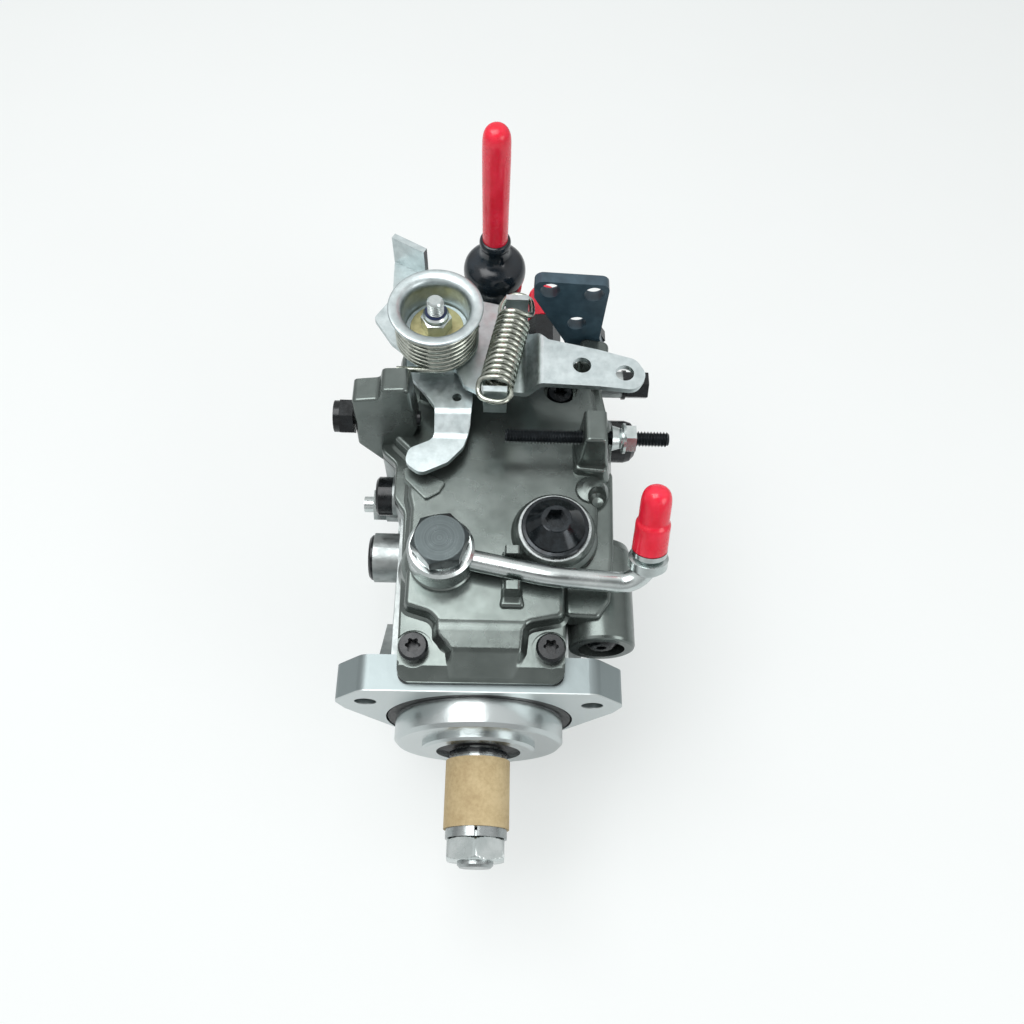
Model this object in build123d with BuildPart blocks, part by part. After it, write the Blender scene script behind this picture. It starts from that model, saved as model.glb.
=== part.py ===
from build123d import *
from math import cos, pi, radians, sin
import os

# Rotary diesel injection pump. Millimetres, +Z up, drive end towards -Y.
# The origin is on the drive axis, in the plane of the mounting flange.

# running clearances and thicknesses
running_fit = 0.05
gasket_thickness = 0.8

# mounting flange and pilot
flange_thickness = 14.0
flange_pitch_radius = 50.5
flange_hole_radius = 4.25
pilot_radius = 34.0
pilot_length = 10.6
nose_radius = 22.85
nose_front = -13.2
ring_recess_radius = 38.0
ring_groove_radius = 33.2

# casting
body_radius = 38.0
cavity_radius = 30.0
rear_radius = 44.0
deck_height = 41.2
flange_top = deck_height - 0.35
joint_face = 150.0
head_bore_radius = 33.4
head_bore_start = 128.0

# The cover and all that it carries are drawn over a deck at drawn_deck, and move with the real deck.
drawn_deck = 41.2
cover_rise = deck_height - drawn_deck
cover_base = drawn_deck + gasket_thickness
cover_top = 53.5
plate_thickness = 5.0
opening_half_width = 22.0
opening_start = 20.0
opening_end = 124.0

# drive line
shaft_radius = 10.0
taper_end_radius = 8.5
thread_radius = 7.0
shaft_tip = -57.0
taper_small_end = -44.0
taper_large_end = -16.0
nut_across_flats = 22.0
sleeve_radius = 12.85
bush_radius = 12.5
seal_radius = 17.0
rotor_radius = 9.0

# hydraulic head
head_flange_radius = 45.0
head_flange_end = 165.0
head_hub_radius = 24.0
head_end = 188.0
end_plate_end = 202.0
outlet_offset = 25.5
solenoid_x = 2.0
solenoid_y = 176.0
head_bolt_radius = 38.7
head_bolt_angles = (0, 180, 270)

# side fittings
latch_y = 144.0
latch_z = 34.0

# throttle
throttle_x = -20.2
throttle_y = 135.3
throttle_boss_top = 61.0
lever_top = 74.0
arm_top = 82.0
lever_thickness = 2.5
lever_hole_radius = 3.6
lever_spring_turns = 16
# the levers and springs are drawn about this pivot, and move with the throttle shaft
pivot_x = -20.2
pivot_y = 135.3

# governor
governor_pivot_y = 30.5
governor_pivot_z = 35.5
metering_y = 134.0

# timing
cam_start = 100.0
cam_end = 122.0
cam_middle = (cam_start + cam_end) / 2
piston_z = -53.0
piston_radius = 11.0

# cylinder cast under the right flank of the cover
side_bore_x = 47.0
side_bore_z = 33.5

# return line and its fittings
banjo_x = -15.4
banjo_y = 47.6
pipe_z = 60.0
union_base = (61.3, 44.0, 66.0)
union_lean = 28.7
pipe_radius = 4.0

plug_x = 27.6
plug_y = 59.8

# rear bracket
bracket_bolt_x = 44.3
bracket_bolt_z = 54.0
bracket_hole_radius = 4.0

# stop screw
stop_screw_y = 95.5
stop_screw_z = 67.0
idle_screw_y = 107.0
post_front = 102.0
idle_screw_z = 60.0

os.makedirs("parts", exist_ok=True)


def write(piece, name, move=(0, 0, 0)):
    part = Pos(*move) * piece.part
    part.label = name
    export_step(part, "parts/" + name + ".step")


def rearward(x=0.0, z=0.0):
    """plane whose upright axis runs along +Y through (x, z)"""
    return Plane(origin=(x, 0, z), x_dir=(1, 0, 0), z_dir=(0, 0, 1))


def upright(x, y):
    """plane whose upright axis is +Z through (x, y)"""
    return Plane(origin=(x, y, 0), x_dir=(1, 0, 0), z_dir=(0, -1, 0))


def sideways(y, z):
    """plane whose upright axis is +X through (y, z)"""
    return Plane(origin=(0, y, z), x_dir=(0, 0, 1), z_dir=(0, 1, 0))


def across(y):
    """plane across the drive axis at y, seen from the drive end; extrude negative amounts to the rear"""
    return Plane.XZ.offset(-y)


def section(plane, outline, keep=Mode.ADD):
    """turn a (radius, height) outline about the plane's upright axis, in the open part"""
    with BuildSketch(plane) as profile:
        with BuildLine():
            Polyline(*outline, close=True)
        make_face()
    revolve(profile.sketch, axis=Axis(plane.origin, plane.y_dir), mode=keep)


def rod(plane, radius, start, end, keep=Mode.ADD):
    """round bar on the plane's upright axis, in the open part"""
    section(plane, [(0, start), (radius, start), (radius, end), (0, end)], keep)


def ring(plane, inner, outer, start, end, keep=Mode.ADD):
    """plain ring on the plane's upright axis, in the open part"""
    section(plane, [(inner, start), (outer, start), (outer, end), (inner, end)], keep)


def turned(plane, outline):
    """one turned piece"""
    with BuildPart() as piece:
        section(plane, outline)
    return piece


def hexagon(plane, across_flats, height, turn=0.0, keep=Mode.ADD):
    """hexagonal bar from the plane along its normal, in the open part"""
    with BuildSketch(plane) as face:
        RegularPolygon(across_flats / 2, 6, major_radius=False, rotation=turn)
    extrude(face.sketch, amount=height, mode=keep)


def chamfered_hexagon(axis_plane, end_plane, across_flats, height, start, end, turn=0.0):
    """hexagonal nut body with its corners turned off at both ends, in the open part"""
    corner = across_flats / 2 / cos(pi / 6)
    flat = across_flats / 2 * 0.96
    slope = corner - flat
    hexagon(end_plane, across_flats, height, turn)
    rise = slope * 0.5
    section(axis_plane, [(0, start), (flat, start), (corner, start + rise), (corner, end - rise),
                         (flat, end), (0, end)], Mode.INTERSECT)


def polygon(plane, points, height, round_radius=0.0, keep=Mode.ADD, both=False):
    """prism with rounded corners from the plane, in the open part"""
    with BuildSketch(plane) as face:
        with BuildLine():
            Polyline(*points, close=True)
        make_face()
        if round_radius:
            fillet(face.vertices(), radius=round_radius)
    extrude(face.sketch, amount=height, both=both, mode=keep)


def block(x0, x1, y0, y1, z0, z1, keep=Mode.ADD):
    """box between two corners, in the open part"""
    with Locations(((x0 + x1) / 2, (y0 + y1) / 2, (z0 + z1) / 2)):
        Box(x1 - x0, y1 - y0, z1 - z0, mode=keep)


def ribbed_tube(plane, inner, wire, start, turns):
    """close-wound spring: one half-round rib for each turn, in the open part"""
    pitch = 2 * wire
    outline = [(inner, start), (inner + wire, start)]
    for turn in range(turns):
        foot = start + turn * pitch
        outline += [(inner + 2 * wire, foot + 0.55 * wire), (inner + 2 * wire, foot + 1.45 * wire),
                    (inner + 1.25 * wire, foot + pitch)]
    outline += [(inner, start + turns * pitch)]
    section(plane, outline)


# the outline that the deck of the casting, the gasket and the cover share, from above
deck_outline = [(-30.4, 2.6), (31.6, 2.9), (33.5, 65), (50, 76), (53, 108), (48, 138), (40, 146.5),
                (-34, 146.5), (-43, 134), (-43, 99), (-36.5, 93), (-36.5, 77.5), (-32, 71)]
outlet_spots = [(x, z) for x in (-outlet_offset, outlet_offset) for z in (-outlet_offset, outlet_offset)]
end_screw_spots = [(19 * cos(radians(a)), 19 * sin(radians(a))) for a in (10, 170, 230, 310)]
inlet_z = 8.0
opening_outline = [(-opening_half_width, opening_start), (opening_half_width, opening_start),
                   (opening_half_width, opening_end), (-opening_half_width, opening_end)]
valve_window = [(-15, opening_end - 4), (15, opening_end - 4), (15, 145), (-15, 145)]
cover_screw_spots = [(-24.6, 14.4), (26.3, 14.9), (-35, 121.5), (31, 127.5)]
timing_bolt_spots = [(-27, 101), (27, 101), (-27, 121), (27, 121)]
flange_spots = [(flange_pitch_radius * cos(radians(a)), flange_pitch_radius * sin(radians(a)))
                for a in (30, 150, 270)]


# ---------------------------------------------------------------- casting
def make_housing():
    with BuildPart() as housing:
        with BuildSketch(across(0)) as flange:
            with BuildLine():
                Polyline((-44, flange_top), (44, flange_top), (56, 26), (53, 15), (9.5, -60), (-9.5, -60),
                         (-53, 15), (-56, 26), close=True)
            make_face()
            fillet(flange.vertices(), radius=6)
        extrude(amount=-flange_thickness)
        section(rearward(), [(0, nose_front), (nose_radius - 1, nose_front), (nose_radius, nose_front + 1),
                             (nose_radius, -pilot_length), (pilot_radius - 1.5, -pilot_length),
                             (pilot_radius, -pilot_length + 1.5), (pilot_radius, 2), (0, 2)])
        ring(rearward(), ring_groove_radius, ring_recess_radius, 0, 2.4, Mode.SUBTRACT)
        # barrel that swells towards the joint with the hydraulic head
        section(rearward(), [(0, flange_thickness - 1), (body_radius, flange_thickness - 1), (body_radius, 94),
                             (rear_radius, 112), (rear_radius, joint_face), (0, joint_face)])
        block(-34, 34, flange_thickness - 1, 140, -8, deck_height - 6)
        # deck that carries the cover
        polygon(Plane.XY.offset(deck_height - 9), deck_outline, 9, 4)
        polygon(Plane.XY.offset(deck_height - 9), deck_outline, -10, 4)
        # side pads and webs
        for side in (-1, 1):
            polygon(Plane.YZ.offset(side * 38), [(flange_thickness - 1, -26), (flange_thickness - 1, 24), (42, -4)],
                    3, 0, both=True)
        rod(sideways(65, 15), 10.5, -46, -20)
        rod(sideways(92, 12), 7.5, -43, -20)
        rod(sideways(86, 31.5), 9.0, -38, -20)
        rod(sideways(latch_y, latch_z), 5.9, 30, 60)
        rod(sideways(116, 31), 9.2, 40, 54)
        block(-32, 32, 96, 126, -41, -20)
        block(-rear_radius - 10, rear_radius + 20, flange_thickness, joint_face, deck_height, deck_height + 20,
              Mode.SUBTRACT)
        block(-40, 40, 96, 126, -60, -41, Mode.SUBTRACT)
        # flange holes
        for x, z in flange_spots:
            rod(rearward(x, z), flange_hole_radius, -1, flange_thickness + 1, Mode.SUBTRACT)
            rod(rearward(x, z), 9.0, flange_thickness, flange_thickness + 14, Mode.SUBTRACT)
        # bores from front to rear: seal, bush, cavity, head
        rod(rearward(), seal_radius, nose_front - 1, -5, Mode.SUBTRACT)
        rod(rearward(), bush_radius, -6, 13, Mode.SUBTRACT)
        rod(rearward(), cavity_radius, 12, head_bore_start + 1, Mode.SUBTRACT)
        rod(rearward(), head_bore_radius, head_bore_start, joint_face + 1, Mode.SUBTRACT)
        polygon(Plane.XY.offset(0), opening_outline, deck_height + 1, 5, Mode.SUBTRACT)
        polygon(Plane.XY.offset(26), valve_window, deck_height, 3, Mode.SUBTRACT)
        # slot for the timing screw, side plug bores, cover screw holes
        rod(upright(0, cam_middle), 9.0, -46, -20, Mode.SUBTRACT)
        rod(sideways(65, 15), 6.0, -47, -32, Mode.SUBTRACT)
        rod(sideways(92, 12), 3.5, -44, -32, Mode.SUBTRACT)
        rod(sideways(86, 31.5), 5.0, -39, -32, Mode.SUBTRACT)
        rod(sideways(latch_y, latch_z), 4.0, 47, 61, Mode.SUBTRACT)
        rod(sideways(116, 31), 5.0, 46, 55, Mode.SUBTRACT)
        for x, y in timing_bolt_spots:
            rod(upright(x, y), 2.5, -60, -32, Mode.SUBTRACT)
        for angle in head_bolt_angles:
            rod(rearward(head_bolt_radius * cos(radians(angle)), head_bolt_radius * sin(radians(angle))), 3.0,
                130, joint_face + 1, Mode.SUBTRACT)
        rod(sideways(governor_pivot_y, governor_pivot_z), 2.5, -26, 26, Mode.SUBTRACT)
        for x, y in cover_screw_spots:
            rod(upright(x, y), 3.0, deck_height - 12, deck_height + 1, Mode.SUBTRACT)
    return housing


# ---------------------------------------------------------------- governor cover
# the raised part of the cover, from above: it runs round the two front screw pads
roof_outline = [(-14.5, 12.8), (14.5, 12.8), (18.5, 21.5), (33, 24.5), (33.5, 46), (46, 58), (49, 106), (45, 134),
                (36, 143), (-32, 143), (-39, 132), (-39, 101), (-32, 94), (-32, 76), (-30.5, 70), (-30.5, 28),
                (-19, 24.5)]


def soft_block(outline, base, height, corner, edge, draft=0.0):
    """cast form with rounded corners, drafted walls and a rounded top edge"""
    with BuildPart(mode=Mode.PRIVATE) as form:
        with BuildSketch(Plane.XY.offset(base)) as plan:
            with BuildLine():
                Polyline(*outline, close=True)
            make_face()
            fillet(plan.vertices(), radius=corner)
        extrude(plan.sketch, amount=height, taper=draft)
        fillet(form.faces().sort_by(Axis.Z)[-1].edges(), radius=edge)
    add(form.part)


def make_cover():
    cavity_height = 9.0
    with BuildPart() as cover:
        soft_block(deck_outline, cover_base, plate_thickness, 5, 1.2)
        # the plate slopes down to the front, below the two screws
        polygon(Plane.YZ.offset(-60), [(0, 43.6), (2.9, 43.6), (8.4, 47.2), (8.4, 50), (0, 50)], 120, 0, Mode.SUBTRACT)
        with BuildPart(mode=Mode.PRIVATE) as roof:
            with BuildSketch(Plane.XY.offset(cover_base + 1)) as plan:
                with BuildLine():
                    Polyline(*roof_outline, close=True)
                make_face()
                fillet(plan.vertices(), radius=4.5)
            extrude(plan.sketch, amount=cover_top - cover_base - 1, taper=12)
            # sloping brow at the front
            polygon(Plane.YZ.offset(-40), [(10, cover_base + 4), (14.5, cover_base + 4), (22.5, cover_top + 0.5),
                                           (22.5, cover_top + 5), (10, cover_top + 5)], 80, 0, Mode.SUBTRACT)
            fillet(roof.edges().filter_by_position(Axis.Z, cover_top - 0.1, cover_top + 0.1), radius=2)
        add(roof.part)
        # the nose runs down to the front edge of the plate
        with BuildPart(mode=Mode.PRIVATE) as chin:
            with BuildSketch(Plane.YZ.offset(3)) as side:
                with BuildLine():
                    Polyline((4.4, cover_base), (4.4, 44.6), (13, 51), (20.8, cover_top), (28, cover_top),
                             (28, cover_base), close=True)
                make_face()
                fillet(side.vertices().filter_by_position(Axis.Y, 44, 52), radius=1.4)
            extrude(side.sketch, amount=12.8, both=True, taper=10)
        add(chin.part)
        # the roof flares out where it meets the plate
        for spread, slope in ((0.9, 50), (0.35, 30)):
            with BuildPart(mode=Mode.PRIVATE) as flare:
                with BuildSketch(Plane.XY.offset(cover_base + plate_thickness)) as plan:
                    with BuildLine():
                        Polyline(*roof_outline, close=True)
                    make_face()
                    fillet(plan.vertices(), radius=4.5)
                    offset(amount=spread - 0.7)
                extrude(plan.sketch, amount=spread / sin(radians(slope)), taper=slope)
            add(flare.part)
        # side cylinder under the right flank
        section(rearward(side_bore_x, side_bore_z), [(0, 20), (11.8, 20), (12.6, 20.4), (13, 21.4), (13, 59), (12, 62),
                                                     (9, 64), (0, 64)])
        soft_block([(31, 27), (45, 26.5), (50, 34), (52, 54), (53, 92), (31, 92)], cover_base, 7, 3, 2, 8)
        block(side_bore_x - 12.5, side_bore_x + 4, 29, 62, side_bore_z, cover_base + 2)
        # boss for the return union, boss for the access plug, throttle boss, rear right boss
        section(upright(banjo_x, banjo_y), [(0, cover_base), (17.5, cover_base), (15.6, 50), (14.2, 52), (13, 53.2),
                                            (12, 54), (0, 54)])
        section(upright(plug_x, plug_y), [(0, cover_base), (18.5, cover_base), (17, 53), (15.8, 55.5), (15.2, 57.4),
                                          (14.2, 58.5), (0, 58.5)])
        section(upright(throttle_x, throttle_y), [(0, cover_base), (18, cover_base), (16.4, 56), (15.4, 59.4),
                                                  (14, throttle_boss_top), (0, throttle_boss_top)])
        soft_block([(37.5, 135), (50, 133), (51, 146), (39, 147.9)], cover_base, 21, 3, 2)
        section(upright(42.4, 79.4), [(0, cover_base), (8.4, cover_base), (7.2, 52), (5.6, 54.4), (3.4, 55.4), (0, 55.8)])
        # boss that carries the stop screw
        with BuildPart(mode=Mode.PRIVATE) as screw_boss:
            with BuildSketch(Plane.XZ.offset(-stop_screw_y)) as front:
                with BuildLine():
                    Polyline((34.5, 46), (37.6, 62), (38.4, 76), (47, 76), (48.4, 62), (51.5, 46), close=True)
                make_face()
                fillet(front.vertices(), radius=2)
            extrude(front.sketch, amount=6.8, both=True)
            fillet(screw_boss.faces().sort_by(Axis.Y)[0].edges(), radius=1.2)
        add(screw_boss.part)
        soft_block([(33, 84), (52, 82.5), (52.5, 107), (33, 106)], cover_base + 2, 13, 5, 1.2, 14)
        # tall post at the left that carries the idle screw
        with BuildPart(mode=Mode.PRIVATE) as tall_post:
            with BuildSketch(across(post_front)) as front:
                with BuildLine():
                    Polyline((-52.5, 47), (-51.6, 78.5), (-41, 80.2), (-39.6, 86), (-29.2, 86.8), (-27.4, 60), (-31, 48),
                             (-31, cover_base), (-43.4, cover_base), (-43.4, 33), close=True)
                make_face()
                fillet(front.vertices().filter_by_position(Axis.Y, 46, 90), radius=2.4)
            extrude(front.sketch, amount=-10.5)
            fillet(tall_post.faces().sort_by(Axis.Y)[0].edges().filter_by_position(Axis.Z, 45, 90), radius=1.2)
        add(tall_post.part)
        # pad under the lever foot, and the clip posts of the return pipe
        soft_block([(-33, 88.5), (-15, 81), (-17.5, 76.5), (-23, 72.8), (-31.5, 81.5)], 52, 3, 1.5, 0.6)
        for y, lean in ((32.4, -1), (46.6, 1)):
            with BuildPart(mode=Mode.PRIVATE) as post:
                with BuildSketch(Plane.XZ.offset(-y)) as front:
                    with BuildLine():
                        Polyline((6, 50), (8.2, 56), (8.6, 63.6), (14.2, 63.6), (14.6, 56), (17, 50), close=True)
                    make_face()
                    fillet(front.vertices().sort_by(Axis.Y)[-2:], radius=1)
                extrude(front.sketch, amount=-3.3)
            add(post.part)
        soft_block([(6.5, 28.5), (16.5, 28.5), (15, 35.6), (8, 35.6)], 50, 5.6, 1.5, 1.5)
        soft_block([(7.5, 31), (15, 31), (15, 51.5), (7.5, 51.5)], 50, 5.2, 1.5, 0.8)
        block(-60, 60, joint_face - 0.5, joint_face + 30, cover_base - 1, 90, Mode.SUBTRACT)
        # hollow underside, with room for the arm of the throttle shaft
        polygon(Plane.XY.offset(cover_base - 1), [(-22, 28), (22, 28), (22, 140), (-22, 140)], cavity_height, 5,
                Mode.SUBTRACT)
        rod(upright(throttle_x, throttle_y), 7.5, cover_base - 1, cover_base + 6.2, Mode.SUBTRACT)
        block(throttle_x, throttle_x + 14.2, throttle_y - 5, throttle_y + 7.2, cover_base - 1, cover_base + 6.2, Mode.SUBTRACT)
        # screw pockets, drillings
        for x, y in cover_screw_spots:
            rod(upright(x, y), 3.2, cover_base - 1, cover_top + 10, Mode.SUBTRACT)
            rod(upright(x, y), 7.2, cover_base + 4.2, cover_top + 30, Mode.SUBTRACT)
        rod(upright(banjo_x, banjo_y), 6.0, cover_base - 1, 60, Mode.SUBTRACT)
        rod(upright(plug_x, plug_y), 8.0, cover_base - 1, 60, Mode.SUBTRACT)
        rod(upright(throttle_x, throttle_y), 6.0 + running_fit, cover_base - 1, 66, Mode.SUBTRACT)
        # dimple beside the access plug
        section(upright(45.4, 75.6), [(0, 50), (2.2, 50.4), (3.4, 52), (4.4, 55), (5, 60), (0, 60)], Mode.SUBTRACT)
        rod(rearward(side_bore_x, side_bore_z), 9.0, 19, 44, Mode.SUBTRACT)
        rod(sideways(stop_screw_y, stop_screw_z), 3.0, 30, 60, Mode.SUBTRACT)
        rod(sideways(idle_screw_y, idle_screw_z), 3.0, -56, -26, Mode.SUBTRACT)
        rod(rearward(bracket_bolt_x, bracket_bolt_z), 3.4, 130, 150, Mode.SUBTRACT)
    return cover


def make_gasket():
    with BuildPart() as gasket:
        polygon(Plane.XY.offset(deck_height), deck_outline, gasket_thickness, 4)
        polygon(Plane.XY.offset(deck_height), opening_outline, gasket_thickness, 5, Mode.SUBTRACT)
        polygon(Plane.XY.offset(deck_height), valve_window, gasket_thickness, 3, Mode.SUBTRACT)
        for x, y in cover_screw_spots:
            rod(upright(x, y), 3.2, deck_height - 1, deck_height + 2, Mode.SUBTRACT)
    return gasket


def make_cover_screws():
    with BuildPart() as screws:
        for x, y in cover_screw_spots:
            section(upright(x, y), [(0, drawn_deck - 11), (3, drawn_deck - 11), (3, cover_base + 4.2),
                                    (5.6, cover_base + 4.2), (5.6, cover_base + 8), (4.8, cover_base + 9.2),
                                    (0, cover_base + 9.2)])
            with BuildSketch(Plane.XY.offset(cover_base + 5.5)) as drive:
                with Locations((x, y)):
                    Circle(2.2)
                    with PolarLocations(2.15, 6):
                        Circle(0.75)
            extrude(drive.sketch, amount=5, mode=Mode.SUBTRACT)
    return screws


# ---------------------------------------------------------------- drive end
def make_oil_seal():
    inner = shaft_radius + running_fit
    return turned(rearward(), [(inner, -12.4), (inner + 1.2, -11.4), (seal_radius, -11.4), (seal_radius, -5),
                               (inner + 1.2, -5), (inner, -7)])


def make_shaft():
    with BuildPart() as shaft:
        section(rearward(), [(0, shaft_tip), (thread_radius - 1, shaft_tip), (thread_radius, shaft_tip + 1),
                             (thread_radius, taper_small_end), (taper_end_radius, taper_small_end + 1),
                             (shaft_radius, taper_large_end), (shaft_radius, 42), (14, 44), (14, 48), (11, 48),
                             (11, 90), (0, 90)])
        # driving tongue that enters the rotor
        block(-2.5, 2.5, 88, 98, -8, 8)
        # keyway in the taper
        block(-2, 2, -38, -22, 6.5, 12, Mode.SUBTRACT)
    return shaft


def make_shaft_nut():
    with BuildPart() as nut:
        chamfered_hexagon(rearward(), across(-46.6), nut_across_flats, 8.2, -54.8, -46.6)
        rod(rearward(), thread_radius, -56, -46, Mode.SUBTRACT)
    return nut


def make_spring_washer():
    with BuildPart() as washer:
        ring(rearward(), taper_end_radius + 0.1, 12, -46.6, -43)
        block(-0.6, 0.6, -47, -42, 6, 13, Mode.SUBTRACT)
    return washer


def make_weight_carrier():
    with BuildPart() as carrier:
        ring(rearward(), 11, 26.5, 64, 68)
        ring(rearward(), 11, 14, 48, 64)
        for turn in range(4):
            with BuildSketch(across(48)) as web:
                with PolarLocations(20, 1, start_angle=45 + 90 * turn):
                    Rectangle(13, 3)
            extrude(web.sketch, amount=-16)
    return carrier


def make_weights():
    with BuildPart() as weights:
        for turn in range(4):
            with BuildSketch(across(50)) as block_face:
                with PolarLocations(19.5, 1, start_angle=90 * turn):
                    Rectangle(9, 17)
            extrude(block_face.sketch, amount=-14)
            with BuildSketch(across(44)) as finger_face:
                with PolarLocations(16.6, 1, start_angle=90 * turn):
                    Rectangle(3, 6)
            extrude(finger_face.sketch, amount=-6)
    return weights


def make_rotor():
    with BuildPart() as rotor:
        section(rearward(), [(0, 91), (12, 91), (12, cam_start - 1), (17, cam_start), (17, cam_end), (rotor_radius, 124),
                             (rotor_radius, 187), (0, 187)])
        block(-2.55, 2.55, 90, 98.5, -8.1, 8.1, Mode.SUBTRACT)
        rod(sideways(cam_middle, 0), 4.0, -18, 18, Mode.SUBTRACT)
        for side in (-1, 1):
            block(side * 14 - 4, side * 14 + 4, cam_start + 2, cam_end - 2, -6, 6, Mode.SUBTRACT)
    return rotor


def make_pumping_elements():
    """two plungers, each with its shoe and roller"""
    with BuildPart() as elements:
        for side in (-1, 1):
            low, high = sorted((side * 2, side * 9.9))
            rod(sideways(cam_middle, 0), 4.0, low, high)
            block(side * 12.5 - 2.5, side * 12.5 + 2.5, cam_start + 2, cam_end - 2, -6, 6)
            rod(rearward(side * 15.6, 0), 4.2, cam_start + 2.5, cam_end - 2.5)
    return elements


def make_cam_ring():
    with BuildPart() as cam:
        ring(rearward(), 15, cavity_radius - 0.1, cam_start, cam_end)
        # the four lobes stand between four round hollows
        with BuildSketch(across(cam_start - 1)) as inside:
            Circle(20.6)
            with PolarLocations(10.6, 4):
                Circle(12)
        extrude(inside.sketch, amount=-(cam_end - cam_start + 2), mode=Mode.SUBTRACT)
    return cam


def make_timing_screw():
    with BuildPart() as screw:
        section(upright(0, cam_middle), [(0, piston_z), (3.4, piston_z), (3.4, -28.2), (0, -28.2)])
        with Locations((0, cam_middle, piston_z)):
            Sphere(5)
        # the head follows the round of the cam ring
        rod(rearward(), cavity_radius - 0.1, cam_start, cam_end, Mode.SUBTRACT)
    return screw


# ---------------------------------------------------------------- timing device
def make_advance_housing():
    with BuildPart() as body:
        polygon(Plane.XZ.offset(-cam_middle), [(-38, -41), (38, -41), (38, -48), (32, -68), (-32, -68), (-38, -48)],
                14, 3, both=True)
        rod(sideways(cam_middle, piston_z), piston_radius + running_fit, -39, 39, Mode.SUBTRACT)
        rod(upright(0, cam_middle), 9.0, piston_z, -40, Mode.SUBTRACT)
        for x, y in timing_bolt_spots:
            rod(upright(x, y), 2.6, -70, -40, Mode.SUBTRACT)
    return body


def make_advance_piston():
    with BuildPart() as piston:
        section(sideways(cam_middle, piston_z), [(0, -20), (piston_radius - 1, -20), (piston_radius, -19),
                                                 (piston_radius, 19), (piston_radius - 1, 20), (0, 20)])
        rod(upright(0, cam_middle), 5 + running_fit, piston_z - 5, piston_z + 14, Mode.SUBTRACT)
    return piston


def make_advance_plugs():
    with BuildPart() as plugs:
        for side in (-1, 1):
            axis = sideways(cam_middle, piston_z)
            low, high = sorted((side * 30, side * 38))
            rod(axis, piston_radius, low, high)
            low, high = sorted((side * 38, side * 44))
            face = Plane(origin=(low, cam_middle, piston_z), x_dir=(0, 1, 0), z_dir=(1, 0, 0))
            hexagon(face, 19, 6)
            low, high = sorted((side * 38, side * 39.5))
            rod(axis, 12.5, low, high)
    return plugs


def make_timing_bolts():
    with BuildPart() as bolts:
        for x, y in timing_bolt_spots:
            section(upright(x, y), [(0, -73), (4.2, -73), (4.2, -68), (2.5, -68), (2.5, -33), (0, -33)])
    return bolts


# ---------------------------------------------------------------- governor
def make_governor_sleeve():
    inner = shaft_radius + running_fit
    return turned(rearward(), [(inner, 24), (14, 24), (14, 27.5), (11.6, 27.5), (11.6, 33.5), (14, 33.5), (14, 37),
                               (19, 38), (19, 40.5), (inner, 40.5)])


def make_governor_pin():
    with BuildPart() as pin:
        rod(sideways(governor_pivot_y, governor_pivot_z), 2.5, -25.5, 25.5)
    return pin


def make_governor_arm():
    axis = sideways(governor_pivot_y, governor_pivot_z)
    with BuildPart() as arm:
        rod(axis, 5, -19, 19)
        for side in (-1, 1):
            low, high = sorted((side * 15.2, side * 18.2))
            block(low, high, governor_pivot_y - 2, governor_pivot_y + 2, -2, governor_pivot_z)
            low, high = sorted((side * 12.2, side * 16))
            block(low, high, governor_pivot_y - 2, governor_pivot_y + 2, -2.5, 2.5)
        block(7, 13, governor_pivot_y - 1.5, governor_pivot_y + 1.5, governor_pivot_z, deck_height + 5)
        rod(axis, 2.5 + running_fit, -20, 20, Mode.SUBTRACT)
    return arm


def make_metering_valve():
    with BuildPart() as valve:
        section(upright(0, metering_y), [(0, 14), (4, 14), (4, 36), (3, 36), (3, 45), (0, 45)])
        block(-2.5, 11, metering_y - 1.5, metering_y + 1.5, 42.6, 44.6)
    return valve


# ---------------------------------------------------------------- hydraulic head
def make_head():
    with BuildPart() as head:
        section(rearward(), [(0, head_bore_start), (head_bore_radius - 1, head_bore_start),
                             (head_bore_radius, head_bore_start + 1), (head_bore_radius, joint_face),
                             (head_flange_radius, joint_face), (head_flange_radius, head_flange_end - 2),
                             (head_flange_radius - 2, head_flange_end), (head_hub_radius, head_flange_end),
                             (head_hub_radius, head_end), (0, head_end)])
        # tower that carries the stop solenoid
        section(upright(solenoid_x, solenoid_y), [(0, 0), (11.4, 0), (11.4, 43), (10.4, 44), (0, 44)])
        rod(rearward(), rotor_radius + running_fit, head_bore_start - 1, head_end + 1, Mode.SUBTRACT)
        rod(upright(solenoid_x, solenoid_y), 3 + running_fit, 20, 45, Mode.SUBTRACT)
        rod(upright(solenoid_x, solenoid_y), 8.0, 33, 45, Mode.SUBTRACT)
        rod(upright(0, metering_y), 4 + running_fit, 12, 46, Mode.SUBTRACT)
        for x, z in outlet_spots:
            rod(rearward(x, z), 6.0, 152, head_flange_end + 1, Mode.SUBTRACT)
        for angle in head_bolt_angles:
            rod(rearward(head_bolt_radius * cos(radians(angle)), head_bolt_radius * sin(radians(angle))), 3.0,
                joint_face - 1, head_flange_end + 1, Mode.SUBTRACT)
        for x, z in end_screw_spots:
            rod(rearward(x, z), 2.0, head_end - 8, head_end + 1, Mode.SUBTRACT)
    return head


def make_head_bolts():
    with BuildPart() as bolts:
        for angle in head_bolt_angles:
            x = head_bolt_radius * cos(radians(angle))
            z = head_bolt_radius * sin(radians(angle))
            section(rearward(x, z), [(0, 131), (3, 131), (3, head_flange_end), (5, head_flange_end),
                                     (5, head_flange_end + 5), (4.4, head_flange_end + 5.6), (0, head_flange_end + 5.6)])
    return bolts


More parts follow.
